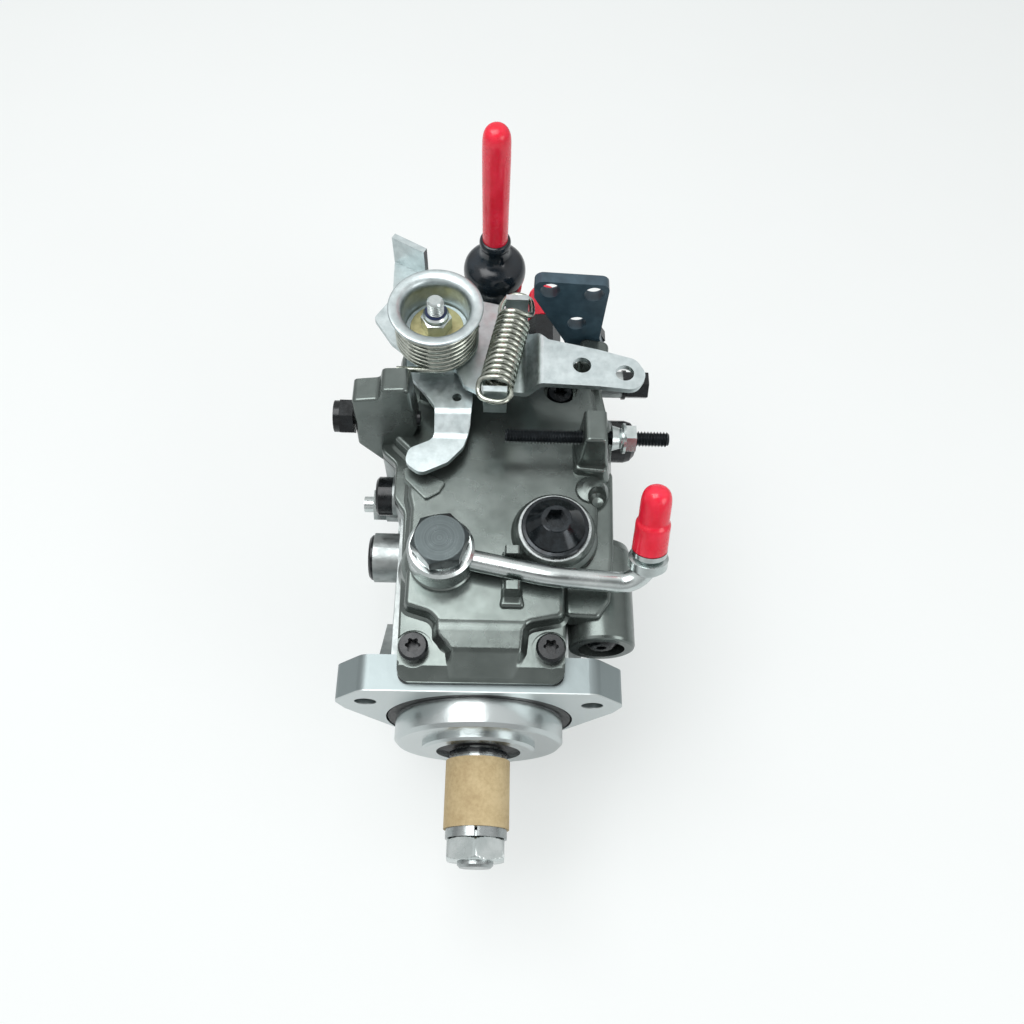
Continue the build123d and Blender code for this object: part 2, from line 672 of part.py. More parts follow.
def make_valve_holders():
    start = head_flange_end
    with BuildPart() as holders:
        for x, z in outlet_spots:
            hexagon(Plane(origin=(x, start + 3, z), x_dir=(1, 0, 0), z_dir=(0, 1, 0)), 14, 16)
            section(rearward(x, z), [(0, 153), (6, 153), (6, start), (8.2, start), (8.2, start + 3.4), (0, start + 3.4)])
            section(rearward(x, z), [(0, start + 10), (6, start + 10), (6, start + 26), (5, start + 27), (0, start + 27)])
    return holders


def make_delivery_caps():
    start = head_flange_end + 19.2
    with BuildPart() as caps:
        for x, z in outlet_spots:
            section(rearward(x, z), [(6.0, start), (7.3, start), (7.1, start + 16), (5.6, start + 19), (0, start + 20),
                                     (0, start + 8), (5, start + 8), (6, start + 7)])
    return caps


def make_end_plate():
    with BuildPart() as plate:
        section(rearward(), [(0, head_end), (head_hub_radius, head_end), (head_hub_radius, end_plate_end - 2),
                             (head_hub_radius - 2, end_plate_end), (0, end_plate_end)])
        polygon(across(head_end), [(-6, -30), (6, -30), (10, 0), (-10, 0)], -10, 2)
        rod(rearward(), 15.0, head_end - 1, head_end + 7, Mode.SUBTRACT)
        rod(rearward(0, inlet_z), 6.0, head_end + 6, end_plate_end + 1, Mode.SUBTRACT)
        for x, z in end_screw_spots:
            rod(rearward(x, z), 2.0, head_end - 1, end_plate_end + 1, Mode.SUBTRACT)
    return plate


def make_end_screws():
    top = end_plate_end
    with BuildPart() as screws:
        for x, z in end_screw_spots:
            section(rearward(x, z), [(0, head_end - 7), (2, head_end - 7), (2, top), (3.4, top), (3.4, top + 3),
                                     (2.8, top + 3.6), (0, top + 3.6)])
    return screws


def make_pump_liner():
    with BuildPart() as liner:
        ring(rearward(), 13.0, 15.0, head_end, head_end + 6.9)
        with BuildSketch(across(head_end)) as eccentric:
            Circle(14.5)
            with Locations((0, 1.0)):
                Circle(11.8, mode=Mode.SUBTRACT)
        extrude(eccentric.sketch, amount=-6.9)
    return liner


def make_transfer_rotor():
    with BuildPart() as rotor:
        rod(rearward(), 10.4, head_end + 0.1, head_end + 6.7)
        for side in (-1, 1):
            block(side * 8 - 4, side * 8 + 4, head_end, head_end + 8, -1.1, 1.1, Mode.SUBTRACT)
    return rotor


def make_transfer_blades():
    with BuildPart() as blades:
        for side in (-1, 1):
            low, high = sorted((side * 4.2, side * 10.7))
            block(low, high, head_end + 0.2, head_end + 6.6, -1.1, 1.1)
    return blades


def make_inlet_union():
    start = end_plate_end
    with BuildPart() as union:
        hexagon(Plane(origin=(0, start, inlet_z), x_dir=(1, 0, 0), z_dir=(0, 1, 0)), 19, 6)
        section(rearward(0, inlet_z), [(0, start - 7), (6, start - 7), (6, start + 3), (8, start + 4), (8, start + 17),
                                       (7, start + 18), (0, start + 18)])
        rod(rearward(0, inlet_z), 3.5, start - 8, start + 19, Mode.SUBTRACT)
    return union


# ---------------------------------------------------------------- stop solenoid
def make_solenoid():
    axis = upright(solenoid_x, solenoid_y)
    with BuildPart() as solenoid:
        chamfered_hexagon(axis, Plane.XY.offset(44).move(Location((solenoid_x, solenoid_y, 0))), 22, 7, 44, 51)
        section(axis, [(0, 34), (8, 34), (8, 45), (8.6, 45), (8.6, 65), (7.6, 66), (0, 66)])
        rod(axis, 3 + running_fit, 33, 43, Mode.SUBTRACT)
    return solenoid


def make_boot():
    return turned(upright(solenoid_x, solenoid_y),
                  [(8.6, 57), (9.6, 57), (11.8, 59.5), (12.8, 63), (13.2, 68.5), (12.9, 73), (11.4, 76.5), (8.6, 79), (6, 80.6),
                   (4.9, 82), (4.9, 83.5), (5.9, 85), (6.1, 87.5), (5.7, 89.5), (5.25, 89.5), (5.25, 85), (0, 85),
                   (0, 66), (7.6, 66), (8.6, 65)])


def make_sleeve_cap():
    return turned(upright(solenoid_x, solenoid_y),
                  [(4.0, 85), (5.2, 85), (5.2, 90), (5.4, 139), (4.7, 142.4), (2.9, 144.5), (0, 145.2), (0, 143.6), (2.2, 143),
                   (3.8, 141), (4.2, 138.5)])


# ---------------------------------------------------------------- rear bracket
def make_bracket():
    with BuildPart() as bracket:
        with BuildSketch(across(148)) as plate:
            with BuildLine():
                Polyline((18, 96.5), (47.8, 95), (47, 62), (51, 50), (47, 43), (38, 45), (32, 60), (18, 87), close=True)
            make_face()
            fillet(plate.vertices(), radius=3.5)
        extrude(plate.sketch, amount=-5)
        for x, z in [(24.3, 91.2), (41.8, 89.6), (36.5, 71.5)]:
            rod(rearward(x, z), bracket_hole_radius, 147, 154, Mode.SUBTRACT)
        rod(rearward(bracket_bolt_x, bracket_bolt_z), 3.4, 147, 154, Mode.SUBTRACT)
    return bracket


def make_bracket_bolt():
    with BuildPart() as bolt:
        rod(rearward(bracket_bolt_x, bracket_bolt_z), 3.4, 133, 154)
        hexagon(Plane(origin=(bracket_bolt_x, 153, bracket_bolt_z), x_dir=(1, 0, 0), z_dir=(0, 1, 0)), 11, 5)
    return bolt


# ---------------------------------------------------------------- return line
def make_banjo_bolt():
    axis = upright(banjo_x, banjo_y)
    end = Plane(origin=(banjo_x, banjo_y, 67), x_dir=(1, 0, 0), z_dir=(0, 0, 1))
    with BuildPart() as bolt:
        chamfered_hexagon(axis, end, 19, 6.7, 67, 73.7, 12)
        rod(axis, 6, 44, 68)
        rod(axis, 3, 43, 60, Mode.SUBTRACT)
    return bolt


def make_banjo_washers():
    with BuildPart() as washers:
        for height in (54, 66):
            ring(upright(banjo_x, banjo_y), 6, 9.6, height, height + 1)
    return washers


def leaning():
    """plane whose upright axis follows the end of the return pipe"""
    lean = radians(union_lean)
    return Plane(origin=union_base, x_dir=(1, 0, 0), z_dir=(0, -cos(lean), sin(lean)))


def make_return_pipe():
    with BuildPart() as pipe:
        with BuildLine() as route:
            FilletPolyline((banjo_x + 6, banjo_y - 1.5, pipe_z), (26, 39, pipe_z), (union_base[0], 38.1, 56.2),
                           union_base, radius=[60, 9.5])
        with BuildSketch(Plane(origin=route.line @ 0, z_dir=route.line % 0)) as bore:
            Circle(pipe_radius)
        sweep(bore.sketch, path=route.line)
        section(leaning(), [(0, -4), (5.6, -4), (5.6, -2), (7.4, -2), (7.4, 1.5), (5.2, 2.2), (5.2, 3.4), (6.6, 3.4),
                            (6.6, 5.4), (4.6, 5.4), (4.6, 16), (0, 16)])
        section(upright(banjo_x, banjo_y), [(0, 55), (11.6, 55), (12.7, 56), (12.7, 65), (11.6, 66), (0, 66)])
        rod(upright(banjo_x, banjo_y), 6, 54, 67, Mode.SUBTRACT)
    return pipe


def make_return_cap():
    return turned(leaning(), [(4.6, 5.6), (6.5, 5.6), (6.4, 17), (5.7, 17.8), (5.6, 27), (4.4, 30.4), (0, 32),
                              (0, 16), (4.6, 16)])


# ---------------------------------------------------------------- plugs and adjusting screws
def make_access_plug():
    with BuildPart() as plug:
        section(upright(plug_x, plug_y), [(0, 50), (8, 50), (8, 58.5), (12.6, 58.5), (13, 58.9), (13, 59.9), (12.6, 60.3),
                                          (11.4, 60.4), (11.2, 61.2), (5.9, 66.6), (5.5, 66.8), (0, 66.8)])
        with BuildSketch(Plane.XY.offset(62.5)) as socket:
            with Locations((plug_x, plug_y)):
                RegularPolygon(4.3, 6)
        extrude(socket.sketch, amount=6, mode=Mode.SUBTRACT)
    return plug


def make_stop_screw():
    with BuildPart() as screw:
        section(sideways(stop_screw_y, stop_screw_z), [(0, 7.7), (2.4, 7.7), (3, 8.6), (3, 71), (2.4, 72), (0, 72)])
    return screw


def make_stop_nut():
    with BuildPart() as nut:
        hexagon(Plane(origin=(54.8, stop_screw_y, stop_screw_z), x_dir=(0, 1, 0), z_dir=(1, 0, 0)), 10, 4)
        section(sideways(stop_screw_y, stop_screw_z), [(2, 49.5), (5, 49.5), (4.4, 51.8), (4, 53), (4, 53.8), (6, 53.8),
                                                       (6, 54.8), (2, 54.8)])
        rod(sideways(stop_screw_y, stop_screw_z), 3, 48, 60, Mode.SUBTRACT)
    return nut


def make_idle_screw():
    with BuildPart() as screw:
        rod(sideways(idle_screw_y, idle_screw_z), 3, -58.8, -26.5)
        hexagon(Plane(origin=(-58.3, idle_screw_y, idle_screw_z), x_dir=(0, 1, 0), z_dir=(1, 0, 0)), 13, 5.5)
        ring(sideways(idle_screw_y, idle_screw_z), 4.5, 6.4, -60.8, -57.8)
    return screw


def make_side_plugs():
    with BuildPart() as plugs:
        section(sideways(65, 15), [(0, -48), (8.6, -48), (9.6, -47), (9.6, -46), (6, -46), (6, -36), (0, -36)])
        section(sideways(86, 31.5), [(0, -45), (7.2, -45), (8.2, -44), (8.2, -38), (5, -38), (5, -33), (0, -33)])
        section(sideways(116, 31), [(0, 48), (5, 48), (5, 54), (9.2, 54), (9.2, 60), (8.4, 62.6),
                                    (6.4, 64.4), (3.4, 65.4), (0, 65.6)])
        section(rearward(side_bore_x, side_bore_z + cover_rise), [(2, 20.6), (2, 24), (0, 24), (0, 34), (9, 34), (9, 24.6),
                                                               (8.4, 24), (4.2, 20.6)])
        hexagon(Plane(origin=(61.5, latch_y, latch_z), x_dir=(0, 1, 0), z_dir=(1, 0, 0)), 11, 10)
        section(sideways(latch_y, latch_z), [(0, 50), (4, 50), (4, 60), (6.6, 60), (6.6, 61.5), (0, 61.5)])
    return plugs


def make_side_fitting():
    with BuildPart() as fitting:
        hexagon(Plane(origin=(-48.5, 92, 12), x_dir=(0, 1, 0), z_dir=(1, 0, 0)), 13, 5.5)
        rod(sideways(92, 12), 3.5, -53, -34)
    return fitting


# ---------------------------------------------------------------- throttle
def make_throttle_shaft():
    with BuildPart() as shaft:
        section(upright(pivot_x, pivot_y), [(0, 44), (6, 44), (6, 61.3), (12, 61.3), (12, 64.6), (6, 64.6),
                                                  (6, 71.4), (3, 71.4), (3, 98.2), (2.4, 99), (0, 99)])
        block(pivot_x, pivot_x + 13, pivot_y - 2.5, pivot_y + 2.5, 45, 47.5)
        hexagon(Plane(origin=(pivot_x, pivot_y, 67.2), x_dir=(1, 0, 0), z_dir=(0, 0, 1)), 24, 4.2)
    return shaft


def make_idle_lever():
    """flat lever with a downward step and a curved foot"""
    with BuildPart() as lever:
        with BuildSketch(Plane.YZ.offset(-34)) as profile:
            with BuildLine():
                Polyline((78, 59.5), (98.6, 59.5), (107.2, 64.7), (152, 64.7), (152, 67.2), (106.4, 67.2),
                         (97.8, 62), (78, 62), close=True)
            make_face()
            fillet(profile.vertices().filter_by_position(Axis.X, 90, 120), radius=5)
        extrude(profile.sketch, amount=34)
        with BuildPart(mode=Mode.PRIVATE) as plan:
            with BuildSketch(Plane.XY.offset(55)) as outline:
                with BuildLine():
                    Polyline((-5.5, 112), (-6.3, 101), (-8.6, 93), (-14.5, 85.8), (-25, 80.4), (-31.4, 85.2), (-30.2, 91.6),
                             (-20.4, 96.4), (-20.4, 108), (-25.5, 115.5), (-32.5, 124), (-33.5, 138), (-27, 147),
                             (-13.5, 147), (-7, 138), close=True)
                make_face()
                fillet(outline.vertices(), radius=4.4)
            extrude(amount=20)
        add(plan.part, mode=Mode.INTERSECT)
        rod(upright(pivot_x, pivot_y), 6, 60, 73, Mode.SUBTRACT)
        rod(upright(-11.8, 112.7), 1.9, 60, 73, Mode.SUBTRACT)
    return lever


def make_throttle_lever():
    """formed plate: side profile trimmed by its plan outline"""
    low = lever_top - lever_thickness
    step = arm_top - lever_top
    with BuildPart() as lever:
        with BuildSketch(across(104)) as profile:
            with BuildLine():
                Polyline((-50, low), (16, low), (16 + step * 0.7, low + step), (66, low + step), (66, arm_top),
                         (15 + step * 0.7, arm_top), (15, lever_top), (-50, lever_top), close=True)
            make_face()
            fillet(profile.vertices().filter_by_position(Axis.X, 10, 30), radius=3.2)
        extrude(profile.sketch, amount=-80)
        with BuildPart(mode=Mode.PRIVATE) as plan:
            with BuildSketch(Plane.XY.offset(60)) as outline:
                with BuildLine():
                    Polyline((-46.8, 146), (-40, 157), (-40.5, 178), (-26.5, 170), (-24, 158), (-2.5, 156), (15, 152),
                             (16.5, 138), (24, 131.4), (44.3, 126.8), (58.5, 122.6), (62.5, 115.4), (58, 108.2),
                             (43.8, 109.6), (20.6, 110.4), (8, 111.5), (8, 104.5), (-1, 104.5), (-1.5, 110),
                             (-9, 114), (-12, 121), (-20, 127), (-31, 127), (-39, 134), close=True)
                make_face()
                tip = outline.vertices().filter_by_position(Axis.X, 57, 64)
                fillet(tip, radius=5.4)
                fillet(outline.vertices().filter_by_position(Axis.X, -50, 50), radius=1.8)
            extrude(amount=40)
        add(plan.part, mode=Mode.INTERSECT)
        rod(upright(pivot_x, pivot_y), 3, 60, 90, Mode.SUBTRACT)
        for x, y in [(37.1, 119.3), (53.7, 116.1)]:
            rod(upright(x, y), lever_hole_radius, 70, 90, Mode.SUBTRACT)
        for x, y in [(13.5, 136), (-5, 143)]:
            rod(upright(x, y), 1.5, 70, 90, Mode.SUBTRACT)
        # folded tabs that hold the long spring, and the folded rear tab
        block(-1, 8, 103.2, 105.7, low, 86)
        block(7, 16, 147.4, 149.9, low, 86)
        with BuildSketch(Plane.XY.offset(low)) as rear_tab:
            with BuildLine():
                Polyline((-40.5, 176.4), (-27, 168.8), (-25.8, 171.0), (-39.3, 178.6), close=True)
            make_face()
        extrude(rear_tab.sketch, amount=88 - low)
    return lever


def make_lever_spring():
    rear = Vector(11.3, 146.0, 83)
    front = Vector(3.8, 107.1, 83)
    direction = (rear - front).normalized()
    length = (rear - front).length
    axis = Plane(origin=front, x_dir=(0, 0, 1), z_dir=Vector(0, 0, 1).cross(direction))
    with BuildPart() as spring:
        ribbed_tube(axis, 4.5, length / (2 * lever_spring_turns), 0, lever_spring_turns)
    return spring


def make_cup():
    return turned(upright(pivot_x, pivot_y),
                  [(3, lever_top), (9, lever_top), (9, 79), (13.6, 79), (14, 79.6), (14, 93.2), (17.6, 93.6), (18.5, 94.8),
                   (17.6, 95.9), (15, 95.2), (13.4, 93.6), (12.9, 91), (12.9, 81.5), (10.2, 81.5), (10.2, 83), (3, 83)])


def make_torsion_spring():
    with BuildPart() as spring:
        ribbed_tube(upright(pivot_x, pivot_y), 14.2, 1.25, lever_top, 7)
    return spring


def make_throttle_nut():
    axis = upright(pivot_x, pivot_y)
    end = Plane(origin=(pivot_x, pivot_y, 83), x_dir=(1, 0, 0), z_dir=(0, 0, 1))
    with BuildPart() as nut:
        chamfered_hexagon(axis, end, 10.6, 6.4, 83, 89.4)
        section(axis, [(3, 88), (5, 88), (5, 91.2), (4.3, 92), (3, 92)])
        rod(axis, 3, 80, 96, Mode.SUBTRACT)
    return nut


on_cover = (0, 0, cover_rise)
on_shaft = (throttle_x - pivot_x, throttle_y - pivot_y, cover_rise)

write(make_housing(), "pump_housing")
write(make_cover(), "governor_cover", on_cover)
write(make_gasket(), "cover_gasket")
write(make_cover_screws(), "cover_screws", on_cover)
write(turned(rearward(), [(33.6, 0.2), (37.2, 0.2), (37.8, 1.3), (37.2, 2.4), (33.6, 2.4), (33.2, 1.3)]), "pilot_o_ring")
write(make_oil_seal(), "shaft_oil_seal")
write(turned(rearward(), [(shaft_radius + running_fit, -5), (bush_radius, -5), (bush_radius, 13),
                          (shaft_radius + running_fit, 13)]), "front_bush")
write(make_shaft(), "drive_shaft")
write(turned(rearward(), [(shaft_radius, -15.2), (11.6, -15.2), (11.6, -13.6), (shaft_radius, -13.6)]), "thrust_washer")
write(turned(rearward(), [(shaft_radius + 0.15, -43), (sleeve_radius, -43), (sleeve_radius, -17),
                          (shaft_radius + 0.15, -17)]), "drive_sleeve")
write(make_spring_washer(), "spring_washer")
write(make_shaft_nut(), "shaft_nut")
write(make_weight_carrier(), "weight_carrier")
write(make_weights(), "governor_weights")
write(make_rotor(), "rotor")
write(make_pumping_elements(), "pumping_elements")
write(make_cam_ring(), "cam_ring")
write(make_timing_screw(), "timing_screw")
write(make_advance_housing(), "advance_housing")
write(make_advance_piston(), "advance_piston")
write(make_advance_plugs(), "advance_plugs")
write(make_timing_bolts(), "advance_bolts")
write(make_governor_sleeve(), "governor_sleeve")
write(make_governor_pin(), "governor_pin")
write(make_governor_arm(), "governor_arm")
write(make_metering_valve(), "metering_valve")
write(make_head(), "hydraulic_head")
write(make_head_bolts(), "head_bolts")
write(make_valve_holders(), "delivery_valve_holders")
write(make_delivery_caps(), "delivery_caps")
write(make_end_plate(), "end_plate")
write(make_end_screws(), "end_plate_screws")
write(make_pump_liner(), "transfer_liner")
write(make_transfer_rotor(), "transfer_rotor")
write(make_transfer_blades(), "transfer_blades")
write(make_inlet_union(), "inlet_union")
write(turned(rearward(0, inlet_z), [(8, 209), (13.2, 209), (13.5, 210), (13.3, 220), (12, 222), (0, 222), (0, 220.1),
                                    (7, 220.1), (8, 219)]), "inlet_cap")
write(make_solenoid(), "stop_solenoid")
write(turned(upright(solenoid_x, solenoid_y), [(0, 27), (3, 27), (3, 40), (0, 40)]), "solenoid_plunger")
write(make_boot(), "solenoid_boot")
write(make_sleeve_cap(), "solenoid_sleeve")
write(make_bracket(), "rear_bracket", on_cover)
write(make_bracket_bolt(), "bracket_bolt", on_cover)
write(make_banjo_bolt(), "banjo_bolt", on_cover)
write(make_banjo_washers(), "banjo_washers", on_cover)
write(make_return_pipe(), "return_pipe", on_cover)
write(make_return_cap(), "return_cap", on_cover)
write(make_access_plug(), "access_plug", on_cover)
write(make_stop_screw(), "stop_screw", on_cover)
write(make_stop_nut(), "stop_screw_nut", on_cover)
write(make_idle_screw(), "idle_screw", on_cover)
write(make_side_plugs(), "side_plugs")
write(make_side_fitting(), "side_fitting")
write(make_throttle_shaft(), "throttle_shaft", on_shaft)
write(make_idle_lever(), "idle_lever", on_shaft)
write(make_throttle_lever(), "throttle_lever", on_shaft)
write(make_lever_spring(), "lever_spring", on_shaft)
write(make_cup(), "throttle_cup", on_shaft)
write(make_torsion_spring(), "torsion_spring", on_shaft)
write(make_throttle_nut(), "throttle_nut", on_shaft)
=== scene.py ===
import math
import bmesh
import bpy
import numpy as np
from mathutils import Matrix


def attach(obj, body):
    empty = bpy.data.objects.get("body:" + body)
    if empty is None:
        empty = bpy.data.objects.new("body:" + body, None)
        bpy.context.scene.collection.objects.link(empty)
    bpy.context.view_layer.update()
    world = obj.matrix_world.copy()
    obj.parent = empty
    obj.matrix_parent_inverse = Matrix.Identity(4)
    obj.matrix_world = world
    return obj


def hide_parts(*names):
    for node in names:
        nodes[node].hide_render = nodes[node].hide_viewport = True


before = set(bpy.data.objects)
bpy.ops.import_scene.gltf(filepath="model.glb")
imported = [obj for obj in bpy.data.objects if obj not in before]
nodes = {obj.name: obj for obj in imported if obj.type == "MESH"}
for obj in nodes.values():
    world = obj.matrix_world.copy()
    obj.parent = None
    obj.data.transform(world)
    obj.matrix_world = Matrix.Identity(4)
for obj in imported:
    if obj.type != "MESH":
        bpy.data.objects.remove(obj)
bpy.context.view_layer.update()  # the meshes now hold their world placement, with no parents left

print("stage: frame loaded,", len(nodes), "nodes")

mm = 0.001
tau = 2 * np.pi


# ---------- materials ----------

def linear(code):
    # sRGB hex to linear: c / 12.92 below 0.04045, ((c + 0.055) / 1.055) ^ 2.4 above
    values = [int(code[i:i + 2], 16) / 255 for i in (1, 3, 5)]
    return tuple(c / 12.92 if c <= 0.04045 else ((c + 0.055) / 1.055) ** 2.4 for c in values) + (1.0,)


def addNode(tree, kind, settings=None, links=None):
    # settings are sockets by name or number where the node has them, otherwise its own properties
    node = tree.nodes.new(kind)
    for key, value in (settings or {}).items():
        if isinstance(key, int) or (key in node.inputs and not hasattr(node, key)):
            node.inputs[key].default_value = value
        else:
            setattr(node, key, value)
    for key, source in (links or {}).items():
        tree.links.new(source, node.inputs[key])
    return node


def startMaterial(name):
    material = bpy.data.materials.new(name)
    material.use_nodes = True
    tree = material.node_tree
    tree.nodes.clear()
    shader = addNode(tree, "ShaderNodeBsdfPrincipled")
    addNode(tree, "ShaderNodeOutputMaterial", None, {"Surface": shader.outputs[0]})
    place = addNode(tree, "ShaderNodeTexCoord").outputs["Object"]
    return material, tree, shader, place


# noise gathers about its middle, so only this part of it is stretched over the whole range
patchSpan, rubSpan = (0.32, 0.68), (0.35, 0.65)


def makeFinish(name, look):
    # a patchy colour, a patchy roughness and one or two layers of relief, each at a size in mm
    material, tree, shader, place = startMaterial(name)
    patches = addNode(tree, "ShaderNodeTexNoise",
                      {"Scale": 1 / (look["patchSize"] * mm), "Detail": 4.0, "Roughness": 0.6},
                      {"Vector": place})
    spread = addNode(tree, "ShaderNodeMapRange", {"From Min": patchSpan[0], "From Max": patchSpan[1]},
                     {"Value": patches.outputs[0]})
    colour = addNode(tree, "ShaderNodeMix",
                     {"data_type": "RGBA", 6: linear(look["dark"]), 7: linear(look["light"])},
                     {0: spread.outputs[0]})
    rubbed = addNode(tree, "ShaderNodeTexNoise", {"Scale": 1 / (look["rubSize"] * mm), "Detail": 3.0},
                     {"Vector": place})
    low, high = look["roughness"]
    rough = addNode(tree, "ShaderNodeMapRange",
                    {"From Min": rubSpan[0], "From Max": rubSpan[1], "To Min": low, "To Max": high},
                    {"Value": rubbed.outputs[0]})
    tree.links.new(colour.outputs[2], shader.inputs["Base Color"])
    tree.links.new(rough.outputs[0], shader.inputs["Roughness"])
    for key, value in look["shader"].items():
        shader.inputs[key].default_value = value
    relief = None
    for size, depth in look["relief"]:
        grain = addNode(tree, "ShaderNodeTexNoise", {"Scale": 1 / (size * mm), "Detail": 2.0},
                        {"Vector": place})
        bump = addNode(tree, "ShaderNodeBump", {"Strength": 1.0, "Distance": depth * mm},
                       {"Height": grain.outputs[0]})
        if relief:
            tree.links.new(relief.outputs[0], bump.inputs["Normal"])
        relief = bump
    tree.links.new(relief.outputs[0], shader.inputs["Normal"])
    return material, tree, shader, place, colour, rough, relief


finishes = {
    # hard anodised die casting: smooth skin, dark cool grey, soft sheen, faint flow patches
    "anodisedCasting": dict(dark="#5C6461", light="#757D7A", patchSize=22, rubSize=12, roughness=(0.21, 0.29),
                            relief=[(9, 0.10), (2.2, 0.008)], shader={"Metallic": 0.8}),
    # zinc plated pressed sheet: cool bright silver with a cloudy spangle
    "zincSheet": dict(dark="#AEB9BA", light="#C6D0D1", patchSize=4, rubSize=2.5, roughness=(0.34, 0.46),
                      relief=[(9, 0.05), (3, 0.008)], shader={"Metallic": 1.0}),
    # zinc plated turned parts: the same plating over a smoother, brighter surface
    "zincTurned": dict(dark="#B2BBBA", light="#CED5D4", patchSize=9, rubSize=6, roughness=(0.22, 0.28),
                       relief=[(6, 0.008)], shader={"Metallic": 1.0}),
    # drawn spring wire, zinc plated: warm nickel tone, fine drawing marks
    "drawnWire": dict(dark="#91968D", light="#BFC3B9", patchSize=4, rubSize=2, roughness=(0.16, 0.28),
                      relief=[(2, 0.006)], shader={"Metallic": 1.0}),
    # plain turned and ground steel
    "groundSteel": dict(dark="#8E9494", light="#ABB0B0", patchSize=6, rubSize=2, roughness=(0.20, 0.34),
                        relief=[(2, 0.006)], shader={"Metallic": 1.0}),
    # black oxide on turned steel: nearly black, oily sheen
    "blackOxide": dict(dark="#0C0F11", light="#1A1F22", patchSize=4, rubSize=2, roughness=(0.18, 0.32),
                       relief=[(1.6, 0.008)], shader={"Metallic": 0.25}),
    # black oxide over burnished steel: rolled threads and the finely turned plug
    "burnishedOxide": dict(dark="#15191C", light="#2A3034", patchSize=3, rubSize=2, roughness=(0.12, 0.22),
                           relief=[(1.6, 0.006)], shader={"Metallic": 0.5}),
    # black powder coat on cut plate: satin black with a fine orange peel
    "blackCoat": dict(dark="#2A3E49", light="#3C535F", patchSize=6, rubSize=3, roughness=(0.28, 0.40),
                      relief=[(1.6, 0.012)], shader={}),
    # moulded black PVC boot: wet-looking black with slow waves
    "mouldedBoot": dict(dark="#0B1218", light="#1A262F", patchSize=9, rubSize=4, roughness=(0.12, 0.24),
                        relief=[(5, 0.09)], shader={}),
    # nitrile rings and compressed fibre gasket: dull black
    "nitrileRubber": dict(dark="#101112", light="#1D1F20", patchSize=3, rubSize=1.5, roughness=(0.42, 0.58),
                          relief=[(1.5, 0.02)], shader={}),
    # dip moulded red PVC: saturated, slightly see-through skin with a soft gloss
    "dippedVinyl": dict(dark="#DC1731", light="#F22B47", patchSize=9, rubSize=5, roughness=(0.16, 0.28),
                        relief=[(7, 0.10)], shader={"Subsurface Weight": 0.2, "Subsurface Scale": 0.002}),
    # sintered bronze bush
    "sinteredBronze": dict(dark="#8C6538", light="#A97E4A", patchSize=3, rubSize=1.5, roughness=(0.32, 0.45),
                           relief=[(1.5, 0.01)], shader={"Metallic": 1.0}),
    # zinc washer with a yellow chromate film
    "yellowZinc": dict(dark="#8F8A63", light="#B3AD84", patchSize=4, rubSize=2, roughness=(0.30, 0.44),
                       relief=[(3, 0.01)], shader={"Metallic": 1.0}),
    # blue nylon ring of the self-locking nut
    "lockNylon": dict(dark="#0E1A3A", light="#182A52", patchSize=2, rubSize=1, roughness=(0.35, 0.45),
                      relief=[(1.5, 0.005)], shader={}),
}
made = {name: makeFinish(name, look)[0] for name, look in finishes.items()}


def addRadius(tree, first, second):
    # sqrt(first ^ 2 + second ^ 2)
    squares = [addNode(tree, "ShaderNodeMath", {"operation": "POWER", 1: 2.0}, {0: source})
               for source in (first, second)]
    both = addNode(tree, "ShaderNodeMath", {"operation": "ADD"},
                   {0: squares[0].outputs[0], 1: squares[1].outputs[0]})
    return addNode(tree, "ShaderNodeMath", {"operation": "SQRT"}, {0: both.outputs[0]})


# dark phosphated steel of the union bolt, faced on its crown: fine rings about the bolt's axis
facedPhosphate = dict(dark="#454C4D", light="#535A5B", patchSize=6, rubSize=3, roughness=(0.26, 0.36),
                      relief=[(1.6, 0.010)], shader={"Metallic": 1.0}, centre=(-15.4, 47.6),
                      ringSize=0.5, ringDepth=0.004, ringSpan=(0.4, 0.7))


def makeFacedPhosphate(look):
    # noise over the distance from the axis gives both the tone of the rings and their depth
    material, tree, shader, place, colour, rough, relief = makeFinish("facedPhosphate", look)
    axes = addNode(tree, "ShaderNodeSeparateXYZ", None, {0: place})
    offsets = [addNode(tree, "ShaderNodeMath", {"operation": "SUBTRACT", 1: middle * mm},
                       {0: axes.outputs[name]})
               for name, middle in zip("XY", look["centre"])]
    radius = addRadius(tree, offsets[0].outputs[0], offsets[1].outputs[0])
    reach = addNode(tree, "ShaderNodeCombineXYZ", None, {"X": radius.outputs[0]})
    marks = addNode(tree, "ShaderNodeTexNoise", {"Scale": 1 / (look["ringSize"] * mm), "Detail": 2.0},
                    {"Vector": reach.outputs[0]})
    low, high = look["ringSpan"]
    spread = addNode(tree, "ShaderNodeMapRange", {"From Min": low, "From Max": high},
                     {"Value": marks.outputs[0]})
    rings = addNode(tree, "ShaderNodeBump", {"Strength": 0.7, "Distance": look["ringDepth"] * mm},
                    {"Height": marks.outputs[0], "Normal": relief.outputs[0]})
    tree.links.new(spread.outputs[0], colour.inputs[0])
    tree.links.new(rings.outputs[0], shader.inputs["Normal"])
    return material


# die cast aluminium as it comes from the mould, with the flange, pilot and nose machined: from front to back
# along Y, bright and turned inside pilotRadius, milled outside it, and duller on the rim behind rimFrom; the
# milled front face is painted lighter and the rim behind it painted darker, partly the real milled against
# as-cast finish and partly painted light and shade that evens the bright level faces against the darker front
# face
castAluminium = dict(dark="#8F9595", light="#AEB4B3", patchSize=9, rubSize=3, roughness=(0.36, 0.50),
                     relief=[(5, 0.10), (1.4, 0.05)], shader={"Metallic": 1.0}, front=-20, back=14.2,
                     pilotRadius=36, rimFrom=0.4, faceToneWithPaintedLight="#C6CDCD", rimToneWithPaintedShade="#8A9495", turnedTone="#BCC3C3",
                     turnedRoughness=0.24, milledRoughness=0.46, markSize=0.9, markDepth=0.006)


